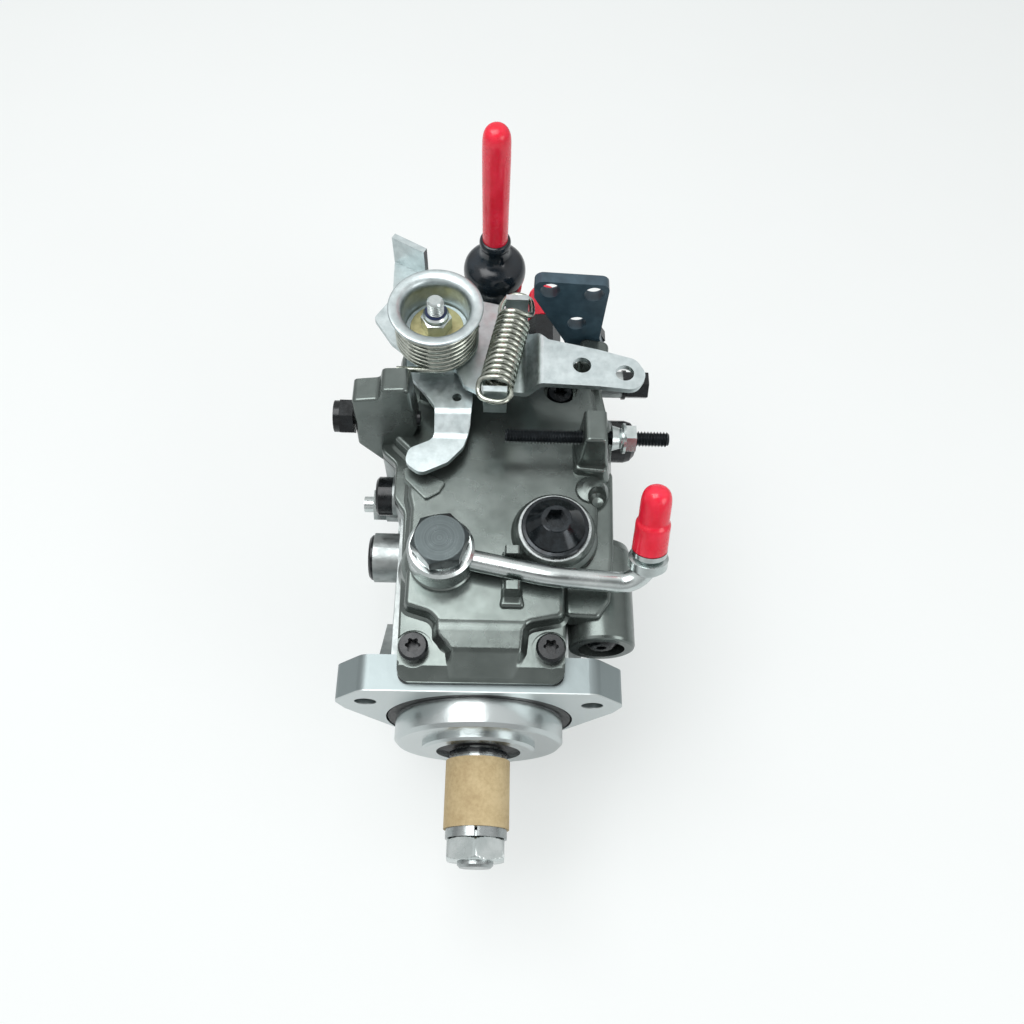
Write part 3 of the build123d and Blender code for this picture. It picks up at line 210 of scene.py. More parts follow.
def makeCastAluminium(look):
    material, tree, shader, place, colour, rough, relief = makeFinish("castAluminium", look)
    axes = addNode(tree, "ShaderNodeSeparateXYZ", None, {0: place})
    beforeBack = addNode(tree, "ShaderNodeMath", {"operation": "LESS_THAN", 1: look["back"] * mm},
                         {0: axes.outputs["Y"]})
    pastFront = addNode(tree, "ShaderNodeMath", {"operation": "GREATER_THAN", 1: look["front"] * mm},
                        {0: axes.outputs["Y"]})
    machined = addNode(tree, "ShaderNodeMath", {"operation": "MULTIPLY"},
                       {0: beforeBack.outputs[0], 1: pastFront.outputs[0]})
    radius = addRadius(tree, axes.outputs["X"], axes.outputs["Z"])
    milled = addNode(tree, "ShaderNodeMath", {"operation": "GREATER_THAN", 1: look["pilotRadius"] * mm},
                     {0: radius.outputs[0]})
    rim = addNode(tree, "ShaderNodeMath", {"operation": "GREATER_THAN", 1: look["rimFrom"] * mm},
                  {0: axes.outputs["Y"]})
    # painted light and shade: the milled front face takes a lighter tone and the rim behind rimFrom a darker
    # one, partly the real finishes and partly standing in for how the light falls on them
    milledToneWithPaintedLight = addNode(tree, "ShaderNodeMix",
                         {"data_type": "RGBA", 6: linear(look["faceToneWithPaintedLight"]), 7: linear(look["rimToneWithPaintedShade"])},
                         {0: rim.outputs[0]})
    machinedTone = addNode(tree, "ShaderNodeMix", {"data_type": "RGBA", 6: linear(look["turnedTone"])},
                           {0: milled.outputs[0], 7: milledToneWithPaintedLight.outputs[2]})
    tone = addNode(tree, "ShaderNodeMix", {"data_type": "RGBA"},
                   {0: machined.outputs[0], 6: colour.outputs[2], 7: machinedTone.outputs[2]})
    tree.links.new(tone.outputs[2], shader.inputs["Base Color"])
    machinedRough = addNode(tree, "ShaderNodeMapRange",
                            {"To Min": look["turnedRoughness"], "To Max": look["milledRoughness"]},
                            {"Value": milled.outputs[0]})
    smooth = addNode(tree, "ShaderNodeMix", {"data_type": "FLOAT"},
                     {0: machined.outputs[0], 2: rough.outputs[0], 3: machinedRough.outputs[0]})
    tree.links.new(smooth.outputs[0], shader.inputs["Roughness"])
    # tool marks: rings about the shaft axis where it is machined, the cast grain elsewhere
    reach = addNode(tree, "ShaderNodeCombineXYZ", None, {"X": radius.outputs[0], "Y": axes.outputs["Y"]})
    marks = addNode(tree, "ShaderNodeTexNoise", {"Scale": 1 / (look["markSize"] * mm), "Detail": 1.0},
                    {"Vector": reach.outputs[0]})
    cutDepth = addNode(tree, "ShaderNodeMath", {"operation": "MULTIPLY"},
                       {0: marks.outputs[0], 1: machined.outputs[0]})
    rings = addNode(tree, "ShaderNodeBump", {"Strength": 0.6, "Distance": look["markDepth"] * mm},
                    {"Height": cutDepth.outputs[0], "Normal": relief.outputs[0]})
    fade = addNode(tree, "ShaderNodeMath", {"operation": "SUBTRACT", 0: 1.0}, {1: machined.outputs[0]})
    tree.links.new(fade.outputs[0], relief.inputs["Strength"])
    tree.links.new(rings.outputs[0], shader.inputs["Normal"])
    return material


# spiral wound kraft board: tan paper with long fibres and one slanting seam that climbs by lead in each turn
kraftBoard = dict(dark="#A8926A", light="#C4B188", seamTone="#927548", lead=52, seamAt=0.13, seamShare=0.012,
                  fibreSize=1.6, cloudSize=12, paperSpan=(0.75, 1.25), roughness=(0.62, 0.80), fibreDepth=0.03,
                  seamDepth=0.12)


def makeKraftBoard(look):
    # seam where the fraction of (turn about Y / 2 pi + y / lead + seamAt) is below seamShare
    material, tree, shader, place = startMaterial("kraftBoard")
    axes = addNode(tree, "ShaderNodeSeparateXYZ", None, {0: place})
    turn = addNode(tree, "ShaderNodeMath", {"operation": "ARCTAN2"},
                   {0: axes.outputs["X"], 1: axes.outputs["Z"]})
    share = addNode(tree, "ShaderNodeMath", {"operation": "DIVIDE", 1: tau}, {0: turn.outputs[0]})
    climb = addNode(tree, "ShaderNodeMath", {"operation": "DIVIDE", 1: look["lead"] * mm},
                    {0: axes.outputs["Y"]})
    spiral = addNode(tree, "ShaderNodeMath", {"operation": "ADD"},
                     {0: share.outputs[0], 1: climb.outputs[0]})
    offset = addNode(tree, "ShaderNodeMath", {"operation": "ADD", 1: look["seamAt"]},
                     {0: spiral.outputs[0]})
    loop = addNode(tree, "ShaderNodeMath", {"operation": "FRACT"}, {0: offset.outputs[0]})
    seam = addNode(tree, "ShaderNodeMath", {"operation": "LESS_THAN", 1: look["seamShare"]},
                   {0: loop.outputs[0]})
    fibre = addNode(tree, "ShaderNodeTexNoise",
                    {"Scale": 1 / (look["fibreSize"] * mm), "Detail": 6.0, "Roughness": 0.7}, {"Vector": place})
    cloud = addNode(tree, "ShaderNodeTexNoise", {"Scale": 1 / (look["cloudSize"] * mm), "Detail": 2.0},
                    {"Vector": place})
    blend = addNode(tree, "ShaderNodeMath", {"operation": "ADD"},
                    {0: fibre.outputs[0], 1: cloud.outputs[0]})
    low, high = look["paperSpan"]
    spread = addNode(tree, "ShaderNodeMapRange", {"From Min": low, "From Max": high},
                     {"Value": blend.outputs[0]})
    paper = addNode(tree, "ShaderNodeMix",
                    {"data_type": "RGBA", 6: linear(look["dark"]), 7: linear(look["light"])},
                    {0: spread.outputs[0]})
    lined = addNode(tree, "ShaderNodeMix", {"data_type": "RGBA", 7: linear(look["seamTone"])},
                    {0: seam.outputs[0], 6: paper.outputs[2]})
    low, high = look["roughness"]
    rough = addNode(tree, "ShaderNodeMapRange", {"To Min": low, "To Max": high},
                    {"Value": fibre.outputs[0]})
    grain = addNode(tree, "ShaderNodeBump", {"Strength": 1.0, "Distance": look["fibreDepth"] * mm},
                    {"Height": fibre.outputs[0]})
    step = addNode(tree, "ShaderNodeBump",
                   {"Strength": 1.0, "Distance": look["seamDepth"] * mm, "invert": True},
                   {"Height": seam.outputs[0], "Normal": grain.outputs[0]})
    tree.links.new(lined.outputs[2], shader.inputs["Base Color"])
    tree.links.new(rough.outputs[0], shader.inputs["Roughness"])
    tree.links.new(step.outputs[0], shader.inputs["Normal"])
    return material


made["castAluminium"] = makeCastAluminium(castAluminium)
made["kraftBoard"] = makeKraftBoard(kraftBoard)
made["facedPhosphate"] = makeFacedPhosphate(facedPhosphate)

# which finish each CAD node gets
finishOf = {
    "castAluminium": ["pump_housing", "advance_housing", "end_plate"],
    "anodisedCasting": ["governor_cover"],
    "zincSheet": ["throttle_lever", "idle_lever", "throttle_cup"],
    "zincTurned": ["advance_bolts", "advance_plugs", "banjo_washers", "end_plate_screws", "head_bolts",
                   "inlet_union", "return_pipe", "shaft_nut", "side_fitting", "stop_screw_nut", "stop_solenoid",
                   "throttle_nut", "throttle_shaft"],
    "drawnWire": ["lever_spring", "torsion_spring"],
    "groundSteel": ["advance_piston", "cam_ring", "drive_shaft", "governor_arm", "governor_pin",
                    "governor_sleeve", "governor_weights", "hydraulic_head", "metering_valve",
                    "pumping_elements", "rotor", "solenoid_plunger", "spring_washer", "timing_screw",
                    "transfer_blades", "transfer_liner", "transfer_rotor", "weight_carrier"],
    "facedPhosphate": ["banjo_bolt"],
    "burnishedOxide": ["access_plug"],
    "blackOxide": ["bracket_bolt", "cover_screws", "delivery_valve_holders", "idle_screw", "side_plugs",
                   "stop_screw", "thrust_washer"],
    "blackCoat": ["rear_bracket"],
    "mouldedBoot": ["solenoid_boot"],
    "nitrileRubber": ["cover_gasket", "pilot_o_ring", "shaft_oil_seal"],
    "dippedVinyl": ["delivery_caps", "inlet_cap", "return_cap", "solenoid_sleeve"],
    "sinteredBronze": ["front_bush"],
    "kraftBoard": ["drive_sleeve"],
}
for finish, names in finishOf.items():
    for name in names:
        mesh = nodes[name].data
        mesh.materials.clear()
        mesh.materials.append(made[finish])
print("stage:", len(made), "materials on the CAD nodes")


# ---------- surfaces ----------

weldReach = 0.001  # mm, points nearer than this become one


def buildMesh(name, grid, finish, closed=False, crease=40):
    # grid is rows x columns x 3 in mm: columns run round the piece, rows run along it
    # closed joins the last row to the first, otherwise each end closes on its middle point
    # edges sharper than crease degrees stay crisp
    if closed:
        grid = np.concatenate([grid, grid[:1]])
    rows, columns = grid.shape[:2]
    here = np.arange(rows * columns).reshape(rows, columns)
    ahead = np.roll(here, -1, axis=1)
    quads = np.stack([here[:-1], ahead[:-1], ahead[1:], here[1:]], axis=-1).reshape(-1, 4)
    points = grid.reshape(-1, 3)
    faces = quads.tolist()
    if not closed:
        points = np.vstack([points, grid[0].mean(axis=0), grid[-1].mean(axis=0)])
        first, last = rows * columns, rows * columns + 1
        faces += np.stack([ahead[0], here[0], np.full(columns, first)], axis=-1).tolist()
        faces += np.stack([here[-1], ahead[-1], np.full(columns, last)], axis=-1).tolist()
    mesh = bpy.data.meshes.new(name)
    mesh.from_pydata((points * mm).tolist(), [], faces)
    form = bmesh.new()
    form.from_mesh(mesh)
    bmesh.ops.remove_doubles(form, verts=form.verts, dist=weldReach * mm)
    if form.calc_volume(signed=True) < 0:
        bmesh.ops.reverse_faces(form, faces=form.faces)
    form.to_mesh(mesh)
    form.free()
    mesh.polygons.foreach_set("use_smooth", [True] * len(mesh.polygons))
    mesh.set_sharp_from_angle(angle=math.radians(crease))
    mesh.materials.append(made[finish])
    mesh.update()
    piece = bpy.data.objects.new(name, mesh)
    bpy.context.scene.collection.objects.link(piece)
    return piece


anySide = (0.3, 0.2, 0.9)  # a direction that no wire starts in


def carryWire(path, radius, sides=14):
    # a circle at each station, square to the path: middle + radius * (cos u * normal + sin u * binormal)
    ahead = np.gradient(path, axis=0)
    ahead /= np.linalg.norm(ahead, axis=1)[:, None]
    start = np.cross(ahead[0], anySide)
    normals = [start / np.linalg.norm(start)]
    for direction in ahead[1:]:  # the last normal, laid flat on the next station
        flat = normals[-1] - direction * np.dot(normals[-1], direction)
        normals.append(flat / np.linalg.norm(flat))
    normal = np.array(normals)
    binormal = np.cross(ahead, normal)
    u = np.linspace(0, tau, sides, endpoint=False)[None, :, None]
    return path[:, None] + radius * (np.cos(u) * normal[:, None] + np.sin(u) * binormal[:, None])


def smoothPath(points, steps=12):
    # a Catmull-Rom curve through the points, in two or three dimensions:
    # (2 b + (c - a) t + (2 a - 5 b + 4 c - d) t^2 + (3 b - a - 3 c + d) t^3) / 2 between each b and c
    p = np.array(points, dtype=float)
    p = np.vstack([2 * p[0] - p[1], p, 2 * p[-1] - p[-2]])
    t = np.linspace(0, 1, steps, endpoint=False)[None, :, None]
    a, b, c, d = (p[i:len(p) - 3 + i][:, None] for i in range(4))
    curve = 0.5 * (2 * b + (c - a) * t + (2 * a - 5 * b + 4 * c - d) * t ** 2
                   + (3 * b - a - 3 * c + d) * t ** 3)
    return np.vstack([curve.reshape(-1, p.shape[1]), p[-2]])


def frameAlong(start, end):
    # unit vectors along the axis, up (square to it, towards +Z where it can be) and to its side, and the length
    along = np.subtract(end, start).astype(float)
    length = np.linalg.norm(along)
    along /= length
    up = np.array([0.0, 0.0, 1.0]) if abs(along[2]) < 0.9 else np.array([0.0, 1.0, 0.0])
    side = np.cross(along, up)
    side /= np.linalg.norm(side)
    return along, np.cross(side, along), side, length


threadForm = dict(stations=10, sides=28, crest=0.8, root=1.1, runOut=0.9)  # stations per pitch


def makeThread(name, v, finish):
    # radius = outer - depth * wave ^ crest, wave = (1 + cos(2 pi s / pitch - u)) / 2, running out at both ends:
    # it is never more than outer - depth * root + runOut * distance from the nearer end
    along, up, side, length = frameAlong(v["start"], v["end"])
    s = np.linspace(0, length, int(length / v["pitch"] * threadForm["stations"]) + 1)[:, None]
    u = np.linspace(0, tau, threadForm["sides"], endpoint=False)
    wave = 0.5 + 0.5 * np.cos(tau * s / v["pitch"] - u)
    radius = v["outer"] - v["depth"] * wave ** threadForm["crest"]
    inset = np.minimum(s, length - s)
    radius = np.minimum(radius, v["outer"] - v["depth"] * threadForm["root"] + inset * threadForm["runOut"])
    around = np.cos(u)[:, None] * side + np.sin(u)[:, None] * up
    grid = np.asarray(v["start"], dtype=float) + s[:, :, None] * along + radius[..., None] * around
    return buildMesh(name, grid, finish)


def turnPiece(name, axis, outline, finish, sides=72, closed=False, crease=40):
    # the outline's points (radius, height), turned about the axis:
    # base + height * along + radius * (cos u * side + sin u * up)
    along, up, side = frameAlong(axis["base"], np.add(axis["base"], axis["along"]))[:3]
    profile = np.array(outline, dtype=float)
    u = np.linspace(0, tau, sides, endpoint=False)
    around = np.cos(u)[:, None] * side + np.sin(u)[:, None] * up
    radius, height = profile[:, 0, None, None], profile[:, 1, None, None]
    grid = np.asarray(axis["base"], dtype=float) + height * along + radius * around
    return buildMesh(name, grid, finish, closed, crease)


# ---------- springs ----------

leverSpring = dict(front=(3.8, 108.0, 83.0), rear=(10.2, 139.5, 83.0), coil=5.75, wire=1.15, turns=13,
                   stations=26, hookWidth=6.3, frontReach=7.4, rearReach=12.9, hookSteps=8)
# one hook as shares of (width, reach, coil): over the top, down one side, round the end, back up the other side
hookLoop = np.array([(0.86, 0.08, 0.62), (1.0, 0.42, 0.10), (0.70, 0.86, 0.0), (0.0, 1.0, 0.0),
                     (-0.70, 0.86, 0.0), (-1.0, 0.42, 0.0), (-0.86, 0.02, 0.02)])


def makeLeverSpring(v):
    # middle + coil * (cos turn * up + sin turn * side); at each end the wire drops into a hook round its tab
    along, up, side, length = frameAlong(v["front"], v["rear"])
    a = np.linspace(0, tau * v["turns"], v["turns"] * v["stations"] + 1)[:, None]
    middle = np.asarray(v["front"]) + length * a / (tau * v["turns"]) * along
    path = middle + v["coil"] * (np.cos(a) * up + np.sin(a) * side)
    hooks = [np.asarray(end) + hookLoop[:, :1] * v["hookWidth"] * sense * side
             + hookLoop[:, 1:2] * reach * outward + hookLoop[:, 2:] * v["coil"] * up
             for end, outward, sense, reach in ((v["front"], -along, -1.0, v["frontReach"]),
                                                (v["rear"], along, 1.0, v["rearReach"]))]
    # each hook runs smoothly into the coil; the step that already lies on the coil is left out
    steps = v["hookSteps"]
    front = smoothPath(np.vstack([hooks[0][::-1], path[0], path[2]]), steps)[:-steps - 1]
    rear = smoothPath(np.vstack([path[-3], path[-1], hooks[1]]), steps)[steps:]
    return carryWire(np.vstack([front, path[1:-1], rear]), v["wire"])


spring = buildMesh("leverReturnSpring", makeLeverSpring(leverSpring), "drawnWire", crease=80)
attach(spring, "throttle")
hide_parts("lever_spring")

torsionSpring = dict(centre=(-20.2, 135.3), coil=15.45, wire=1.2, bottom=75.4, turns=6.6, pitch=2.5,
                     stations=60, startAngle=-90.0, leg=(15.5, 0.6))


def makeTorsionSpring(v):
    # one straight leg, then a coil about the throttle axis:
    # (x + coil cos a, y + coil sin a, bottom + pitch (a - start) / 2 pi)
    a = np.radians(v["startAngle"]) + np.linspace(0, tau * v["turns"], int(v["turns"] * v["stations"]))
    path = np.stack([v["centre"][0] + v["coil"] * np.cos(a), v["centre"][1] + v["coil"] * np.sin(a),
                     v["bottom"] + v["pitch"] * (a - a[0]) / tau], axis=-1)
    back = np.linspace(*v["leg"], 12)[:, None]
    leg = path[0] + back * np.array([math.sin(a[0]), -math.cos(a[0]), 0.0])
    return carryWire(np.vstack([leg, path]), v["wire"])


coil = buildMesh("throttleTorsionSpring", makeTorsionSpring(torsionSpring), "drawnWire", crease=80)
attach(coil, "throttle")
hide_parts("torsion_spring")
print("stage: springs")

# ---------- cup of the torsion spring, and its washer and nylon ring ----------

throttleAxis = dict(base=(-20.2, 135.3, 0.0), along=(0.0, 0.0, 1.0))
# pressed cup, all outlines as (radius, height) in mm: the wall and its rolled rim are one smooth run
cupWall = smoothPath([(12.9, 83), (12.9, 88), (12.9, 91), (13.1, 92.8), (13.7, 94.2), (14.8, 95.1),
                      (16.4, 95.5), (18.0, 95.5), (18.5, 95.0), (18.3, 94.5), (17.0, 94.2), (15.4, 94.1),
                      (14.4, 93.7), (14.0, 92.8), (14.0, 91), (14.0, 84)], 5)
cupOutline = np.vstack([[(3.0, 74.0), (9.0, 74.0), (9.0, 79.0), (13.2, 79.0), (13.8, 79.3), (14.0, 80.0)],
                        cupWall[::-1], [(12.9, 82.0), (12.5, 81.5), (3.0, 81.5)]])
cup = turnPiece("springCup", throttleAxis, cupOutline, "zincSheet", 96, closed=True)
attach(cup, "throttle")
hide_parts("throttle_cup")
washerOutline = [(3.05, 81.5), (10.4, 81.5), (10.6, 81.8), (10.6, 82.7), (10.4, 83.0), (3.05, 83.0)]
washer = turnPiece("cupWasher", throttleAxis, washerOutline, "yellowZinc", closed=True)
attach(washer, "throttle")
nylonOutline = [(3.1, 91.4), (4.3, 91.4), (4.3, 92.3), (4.0, 92.6), (3.4, 92.6), (3.1, 92.3)]
nylon = turnPiece("nutNylonRing", throttleAxis, nylonOutline, "lockNylon", closed=True)
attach(nylon, "throttle")

# ---------- soft and dipped parts ----------

solenoidAxis = dict(base=(2.0, 176.0, 0.0), along=(0.0, 0.0, 1.0))
# moulded boot: skirt, bulging rim, flat dome, folds at the neck and a lip that grips the sleeve
bootOutside = smoothPath([(9.6, 57.0), (11.2, 58.6), (11.9, 61), (12.1, 64), (12.5, 66.6), (13.1, 69),
                          (13.2, 71.4), (12.8, 73.8), (11.6, 76.0), (9.8, 77.6), (7.8, 78.9), (6.3, 80.4),
                          (5.6, 82.2), (5.4, 84.4), (5.6, 85.4), (6.3, 86.2), (6.5, 87.6), (6.2, 89.0),
                          (5.5, 89.5)], 4)
bootOutline = np.vstack([[(8.6, 57.0)], bootOutside,
                         [(5.2, 89.5), (5.2, 85.0), (0.4, 85.0), (0.4, 66.0), (7.6, 66.0), (8.6, 65.0)]])
boot = turnPiece("solenoidBootSkin", solenoidAxis, bootOutline, "mouldedBoot", 96, closed=True, crease=60)
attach(boot, "housing")
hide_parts("solenoid_boot")
print("stage: cup and boot")

# dip moulded caps: from the top of the bore, round the open lip, up the outside to the tip
capAxis = dict(base=(61.3, 44.0, 66.0), along=(0.0, 0.480, 0.877))
capOutside = smoothPath([(6.5, 5.7), (6.5, 9), (6.4, 13), (6.4, 16.3), (6.1, 17.4), (5.7, 18.2), (5.6, 20),
                         (5.6, 24), (5.5, 26.6), (5.1, 28.8), (4.2, 30.5), (2.6, 31.6), (0.3, 32.0)], 4)
capOutline = np.vstack([[(0.3, 16.0), (4.6, 16.0), (4.6, 5.6)], capOutside])
cap = turnPiece("returnCapSkin", capAxis, capOutline, "dippedVinyl", crease=60)
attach(cap, "housing")
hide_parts("return_cap")

sleeveOutside = smoothPath([(5.2, 85.1), (5.2, 92), (5.3, 110), (5.4, 128), (5.35, 136), (5.2, 140.2),
                            (4.5, 142.8), (3.2, 144.4), (1.6, 145.1), (0.3, 145.2)], 5)
sleeveOutline = np.vstack([[(0.3, 139.0), (4.2, 139.0), (4.2, 90.0), (4.0, 85.0)], sleeveOutside])
sleeve = turnPiece("solenoidSleeveSkin", solenoidAxis, sleeveOutline, "dippedVinyl", crease=60)
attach(sleeve, "housing")
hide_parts("solenoid_sleeve")

# one on each delivery valve holder, at the corners of a square about the shaft axis
deliveryCaps = dict(reach=25.5, seat=184.2, corners=[(1, 1), (-1, 1), (-1, -1), (1, -1)])
tipOutside = smoothPath([(7.3, 0.1), (7.3, 4), (7.2, 10), (7.1, 15.2), (6.8, 17.0), (6.0, 18.5),
                         (4.6, 19.5), (2.4, 19.9), (0.3, 20.0)], 4)
tipOutline = np.vstack([[(0.3, 14.0), (6.0, 14.0), (6.0, 0.0)], tipOutside])
for number, (east, high) in enumerate(deliveryCaps["corners"], 1):
    foot = (deliveryCaps["reach"] * east, deliveryCaps["seat"], deliveryCaps["reach"] * high)
    tipAxis = dict(base=foot, along=(0.0, 1.0, 0.0))
    tip = turnPiece(f"deliveryCapSkin{number}", tipAxis, tipOutline, "dippedVinyl", 56, crease=60)
    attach(tip, "housing")
    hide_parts("delivery_caps")

# bright machined land the access plug is drawn down on
plugAxis = dict(base=(27.6, 59.8, 0.0), along=(0.0, 0.0, 1.0))
landOutline = [(12.8, 58.3), (14.1, 58.3), (14.1, 58.55), (14.0, 58.65), (12.9, 58.65), (12.8, 58.55)]
land = turnPiece("plugSeatLand", plugAxis, landOutline, "groundSteel", 96, closed=True)
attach(land, "housing")
print("stage: caps and plug land")

# ---------- nose of the cover casting ----------

# rows of (y, height) for the plate and the crest, and of (y, shoulder, width of the flank) for each side;
# the underside lies that far under the plate, and the foot of each flank runs that margin further out
noseForm = dict(
    along=(3.4, 24.6), rows=61, columns=81, under=1.5, margin=0.3,
    plate=[(3.4, 43.7), (8.1, 46.85), (24.6, 46.85)],
    crest=[(3.4, 43.8), (4.4, 44.9), (8.7, 48.1), (12.2, 50.75), (13.6, 51.55), (20.0, 53.45),
           (21.2, 53.68), (22.6, 53.66), (24.6, 53.40)],
    left=[(3.4, -9.3, 3.2), (13, -9.8, 3.4), (14.5, -11.0, 4.6), (16, -12.2, 4.4), (18, -14.6, 3.6),
          (20, -15.3, 3.0), (24.6, -15.6, 3.0)],
    right=[(3.4, 10.2, 3.2), (13, 14.6, 3.2), (20, 15.3, 3.2), (24.6, 17.0, 3.2)])


def makeCoverNose(v):
    # height = plate(y) + (crest(y) - plate(y)) * (1 - 3 t^2 + 2 t^3),
    # t growing from 0 at a shoulder to 1 at the foot of its flank
    y = np.linspace(*v["along"], v["rows"])[:, None]
    plate, crest = (np.interp(y, *zip(*v[key])) for key in ("plate", "crest"))
    leftAt, leftWidth = (np.interp(y, *np.transpose(v["left"])[[0, i]]) for i in (1, 2))
    rightAt, rightWidth = (np.interp(y, *np.transpose(v["right"])[[0, i]]) for i in (1, 2))
    lowest, highest = leftAt - leftWidth - v["margin"], rightAt + rightWidth + v["margin"]
    x = lowest + np.linspace(0, 1, v["columns"])[None, :] * (highest - lowest)
    t = np.clip(np.maximum((leftAt - x) / leftWidth, (x - rightAt) / rightWidth), 0, 1)
    height = plate + (crest - plate) * (1 - 3 * t ** 2 + 2 * t ** 3)
    upper = np.stack(np.broadcast_arrays(x, y, height), axis=-1)
    lower = np.stack(np.broadcast_arrays(x, y, plate - v["under"]), axis=-1)
    return np.concatenate([upper, lower[:, ::-1]], axis=1)


nose = buildMesh("coverNose", makeCoverNose(noseForm), "anodisedCasting", crease=50)
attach(nose, "housing")
print("stage: nose of the cover")

# ---------- nut on the shaft ----------

# rows of (radius of the turned chamfer, y); the flats cut in where they are nearer, and one corner points up
nutForm = dict(flats=22.0, corner=tau / 4, sides=192,
               rows=[(7.0, -54.8), (10.7, -54.8), (11.2, -54.62), (11.7, -54.34), (12.2, -53.98),
                     (12.75, -53.5), (12.75, -47.9), (12.2, -47.42), (11.7, -47.06), (11.2, -46.78),
                     (10.7, -46.6), (7.0, -46.6)])


def makeHexNut(v):
    # radius = the lesser of the row's own and flats / 2 / cos(angle off the middle of the nearest flat)
    u = np.linspace(0, tau, v["sides"], endpoint=False)
    offFlat = np.mod(u - v["corner"], tau / 6) - tau / 12
    rows = np.array(v["rows"])
    radius = np.minimum(rows[:, :1], v["flats"] / 2 / np.cos(offFlat)[None, :])
    return np.stack(np.broadcast_arrays(radius * np.cos(u), rows[:, 1:], radius * np.sin(u)), axis=-1)


hexNut = buildMesh("shaftNutSkin", makeHexNut(nutForm), "zincTurned", closed=True, crease=25)
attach(hexNut, "drive_line")
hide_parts("shaft_nut")
print("stage: nut")

# ---------- threads ----------

stopScrew = dict(outer=3.0, depth=0.7, pitch=1.25, start=(7.7, 95.5, 67.0), end=(72.0, 95.5, 67.0))
throttleStud = dict(outer=3.3, depth=0.6, pitch=1.0, start=(-20.2, 135.3, 91.5), end=(-20.2, 135.3, 98.8))

stopThread = makeThread("stopScrewThread", stopScrew, "burnishedOxide")
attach(stopThread, "housing")
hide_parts("stop_screw")
stud = makeThread("throttleStudThread", throttleStud, "zincTurned")
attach(stud, "throttle")
print("stage: threads")

# ---------- floor, light and camera ----------

# pale paper sweep under the pump: matt, with soft cloudy creases; it glows a little for the camera alone
floorLook = dict(height=-73.2, reach=3000, dark="#EEF1F1", light="#F1F5F5", cloudSize=90, creaseDepth=3,
                 roughness=0.9, specular=0.1, glow=0.5, glowColour=(0.97, 1.0, 0.99, 1.0))


def makeFloor(v):
    x, y = (v["reach"] * mm * np.array(signs) for signs in ((-1, 1, 1, -1), (-1, -1, 1, 1)))
    floorMesh = bpy.data.meshes.new("floor")
    floorMesh.from_pydata(np.stack([x, y, np.full(4, v["height"] * mm)], axis=-1).tolist(), [], [(0, 1, 2, 3)])
    floor = bpy.data.objects.new("floor", floorMesh)
    bpy.context.scene.collection.objects.link(floor)
    material, tree, shader, place = startMaterial("paperSweep")
    cloud = addNode(tree, "ShaderNodeTexNoise", {"Scale": 1 / (v["cloudSize"] * mm), "Detail": 3.0},
                    {"Vector": place})
    tone = addNode(tree, "ShaderNodeMix",
                   {"data_type": "RGBA", 6: linear(v["dark"]), 7: linear(v["light"])},
                   {0: cloud.outputs[0]})
    crease = addNode(tree, "ShaderNodeBump", {"Strength": 0.5, "Distance": v["creaseDepth"] * mm},
                     {"Height": cloud.outputs[0]})
    tree.links.new(tone.outputs[2], shader.inputs["Base Color"])
    tree.links.new(crease.outputs[0], shader.inputs["Normal"])
    shader.inputs["Roughness"].default_value = v["roughness"]
    shader.inputs["Specular IOR Level"].default_value = v["specular"]
    # a share of glow that only the camera meets, so the sweep reads white and keeps its shadow
    ray = addNode(tree, "ShaderNodeLightPath")
    share = addNode(tree, "ShaderNodeMath", {"operation": "MULTIPLY", 1: v["glow"]},
                    {0: ray.outputs["Is Camera Ray"]})
    glow = addNode(tree, "ShaderNodeEmission", {"Color": v["glowColour"]})
    mixed = addNode(tree, "ShaderNodeMixShader", None,
                    {0: share.outputs[0], 1: shader.outputs[0], 2: glow.outputs[0]})
    tree.links.new(mixed.outputs[0], tree.nodes["Material Output"].inputs["Surface"])
    floorMesh.materials.append(material)
    return floor


floor = makeFloor(floorLook)

# the room: white overhead, greyer towards the horizon, so that upright metal faces read darker than level ones,
# and dark round the heading where whoever works the camera stands
roomLook = dict(diffuse=0.6, horizon=0.5, whiteFrom=0.75, darkHeading=(0.0, -0.37, 0.93), darkEdge=0.80,
                darkCore=0.97, darkLevel=0.1)


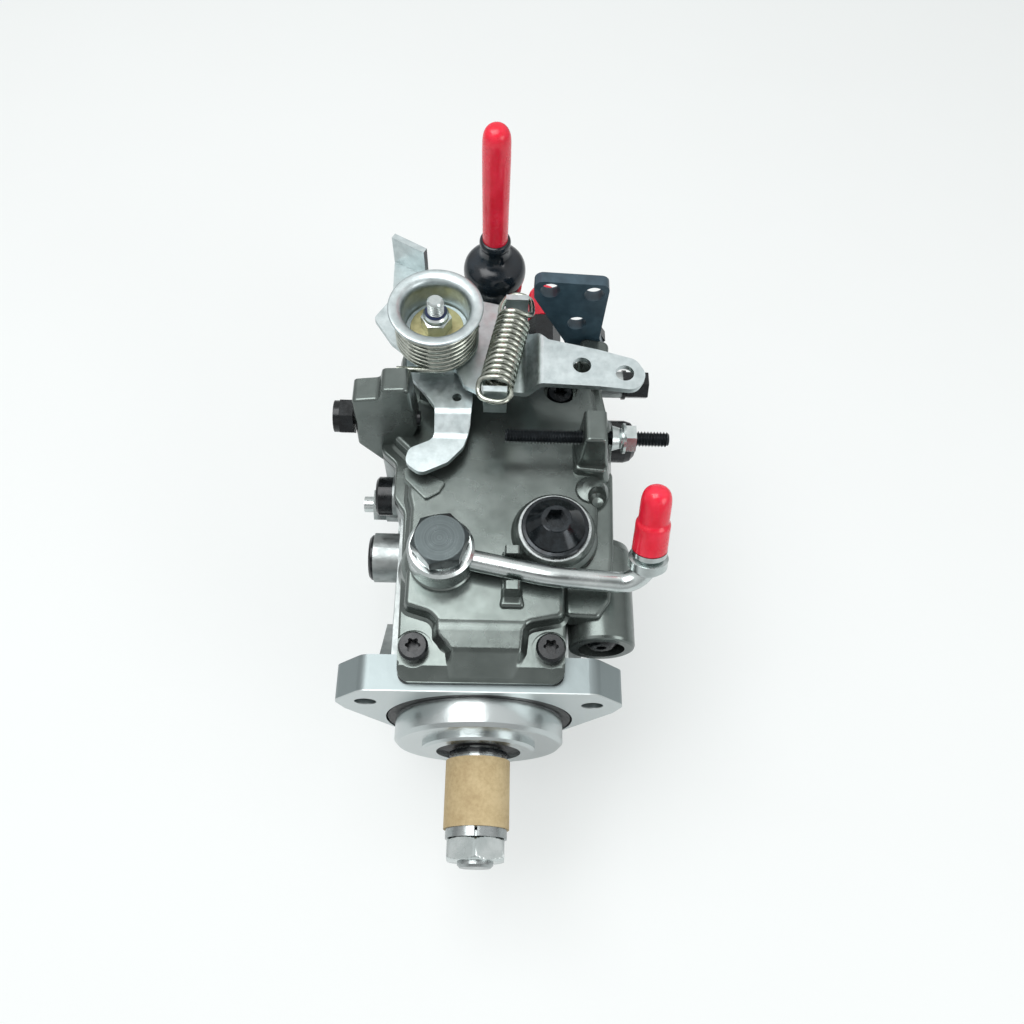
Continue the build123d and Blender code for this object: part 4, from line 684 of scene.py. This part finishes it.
def makeRoom(v):
    world = bpy.data.worlds.new("softRoom")
    bpy.context.scene.world = world
    world.use_nodes = True
    tree = world.node_tree
    tree.nodes.clear()
    ray = addNode(tree, "ShaderNodeLightPath")
    seen = addNode(tree, "ShaderNodeMath", {"operation": "MAXIMUM"},
                   {0: ray.outputs["Is Camera Ray"], 1: ray.outputs["Is Glossy Ray"]})
    either = addNode(tree, "ShaderNodeMath", {"operation": "MAXIMUM"},
                     {0: seen.outputs[0], 1: ray.outputs["Is Transmission Ray"]})
    strength = addNode(tree, "ShaderNodeMapRange", {"To Min": v["diffuse"], "To Max": 1.0},
                       {"Value": either.outputs[0]})
    heading = addNode(tree, "ShaderNodeTexCoord").outputs["Generated"]
    rise = addNode(tree, "ShaderNodeSeparateXYZ", None, {0: heading})
    fade = addNode(tree, "ShaderNodeMapRange",
                   {"From Min": 0.0, "From Max": v["whiteFrom"], "To Min": v["horizon"], "To Max": 1.0},
                   {"Value": rise.outputs["Z"]})
    # closeness is the cosine of the angle off the dark heading
    closeness = addNode(tree, "ShaderNodeVectorMath", {"operation": "DOT_PRODUCT", 1: v["darkHeading"]},
                        {0: heading})
    shade = addNode(tree, "ShaderNodeMapRange",
                    {"From Min": v["darkEdge"], "From Max": v["darkCore"], "To Min": 1.0,
                     "To Max": v["darkLevel"]},
                    {"Value": closeness.outputs["Value"]})
    lit = addNode(tree, "ShaderNodeMath", {"operation": "MULTIPLY"},
                  {0: strength.outputs[0], 1: fade.outputs[0]})
    shaded = addNode(tree, "ShaderNodeMath", {"operation": "MULTIPLY"},
                     {0: lit.outputs[0], 1: shade.outputs[0]})
    # the camera itself sees plain white
    level = addNode(tree, "ShaderNodeMath", {"operation": "MAXIMUM"},
                    {0: shaded.outputs[0], 1: ray.outputs["Is Camera Ray"]})
    sky = addNode(tree, "ShaderNodeBackground", {"Color": (1.0, 1.0, 1.0, 1.0)},
                  {"Strength": level.outputs[0]})
    addNode(tree, "ShaderNodeOutputWorld", None, {"Surface": sky.outputs[0]})


makeRoom(roomLook)

# square lamps, in metres and watts, both turned towards the middle of the pump
lampTarget = (0, 0.07, 0)
lamps = dict(keySoftbox=dict(position=(-0.25, 0.1, 0.9), size=0.7, power=7.0),
             fillSoftbox=dict(position=(0.75, -0.45, 0.5), size=0.5, power=2.5))


def matrixOf(right, above, back, position):
    # the matrix whose columns are those three directions and the place
    return Matrix([[right[i], above[i], back[i], position[i]] for i in range(3)] + [[0, 0, 0, 1]])


def makeLamp(name, v):
    lamp = bpy.data.lights.new(name, "AREA")
    lamp.shape, lamp.size, lamp.energy = "SQUARE", v["size"], v["power"]
    holder = bpy.data.objects.new(name, lamp)
    bpy.context.scene.collection.objects.link(holder)
    back = np.subtract(v["position"], lampTarget).astype(float)
    back /= np.linalg.norm(back)
    right = np.cross([0, 1, 0], back)
    right /= np.linalg.norm(right)
    holder.matrix_world = matrixOf(right, np.cross(back, right), back, v["position"])


for name, lamp in lamps.items():
    makeLamp(name, lamp)

# the camera looks steeply down from above the drive end: degrees and mm, and metres for what it clips
cameraPlace = dict(pitch=63.13, yaw=-2.52, roll=-3.58, position=(4.04, -92.69, 372.58), lens=32.06, sensor=36.0,
                   nearest=0.01, farthest=50.0)


def makeCamera(v):
    # level, forward and down are square to each other; roll turns level and down about forward
    pitch, yaw, roll = (math.radians(v[key]) for key in ("pitch", "yaw", "roll"))
    turned = np.array([[math.cos(yaw), -math.sin(yaw), 0], [math.sin(yaw), math.cos(yaw), 0], [0, 0, 1]])
    forward = turned @ np.array([0, math.cos(pitch), -math.sin(pitch)])
    level = turned @ np.array([1.0, 0, 0])
    down = np.cross(forward, level)
    right = math.cos(roll) * level + math.sin(roll) * down
    below = math.cos(roll) * down - math.sin(roll) * level
    data = bpy.data.cameras.new("viewCamera")
    data.sensor_fit, data.sensor_width, data.lens = "HORIZONTAL", v["sensor"], v["lens"]
    data.clip_start, data.clip_end = v["nearest"], v["farthest"]
    camera = bpy.data.objects.new("viewCamera", data)
    bpy.context.scene.collection.objects.link(camera)
    camera.matrix_world = matrixOf(right, -below, -forward, [c * mm for c in v["position"]])
    bpy.context.scene.camera = camera


makeCamera(cameraPlace)
bpy.context.scene.view_settings.view_transform = "Standard"
print("stage: floor, light and camera")
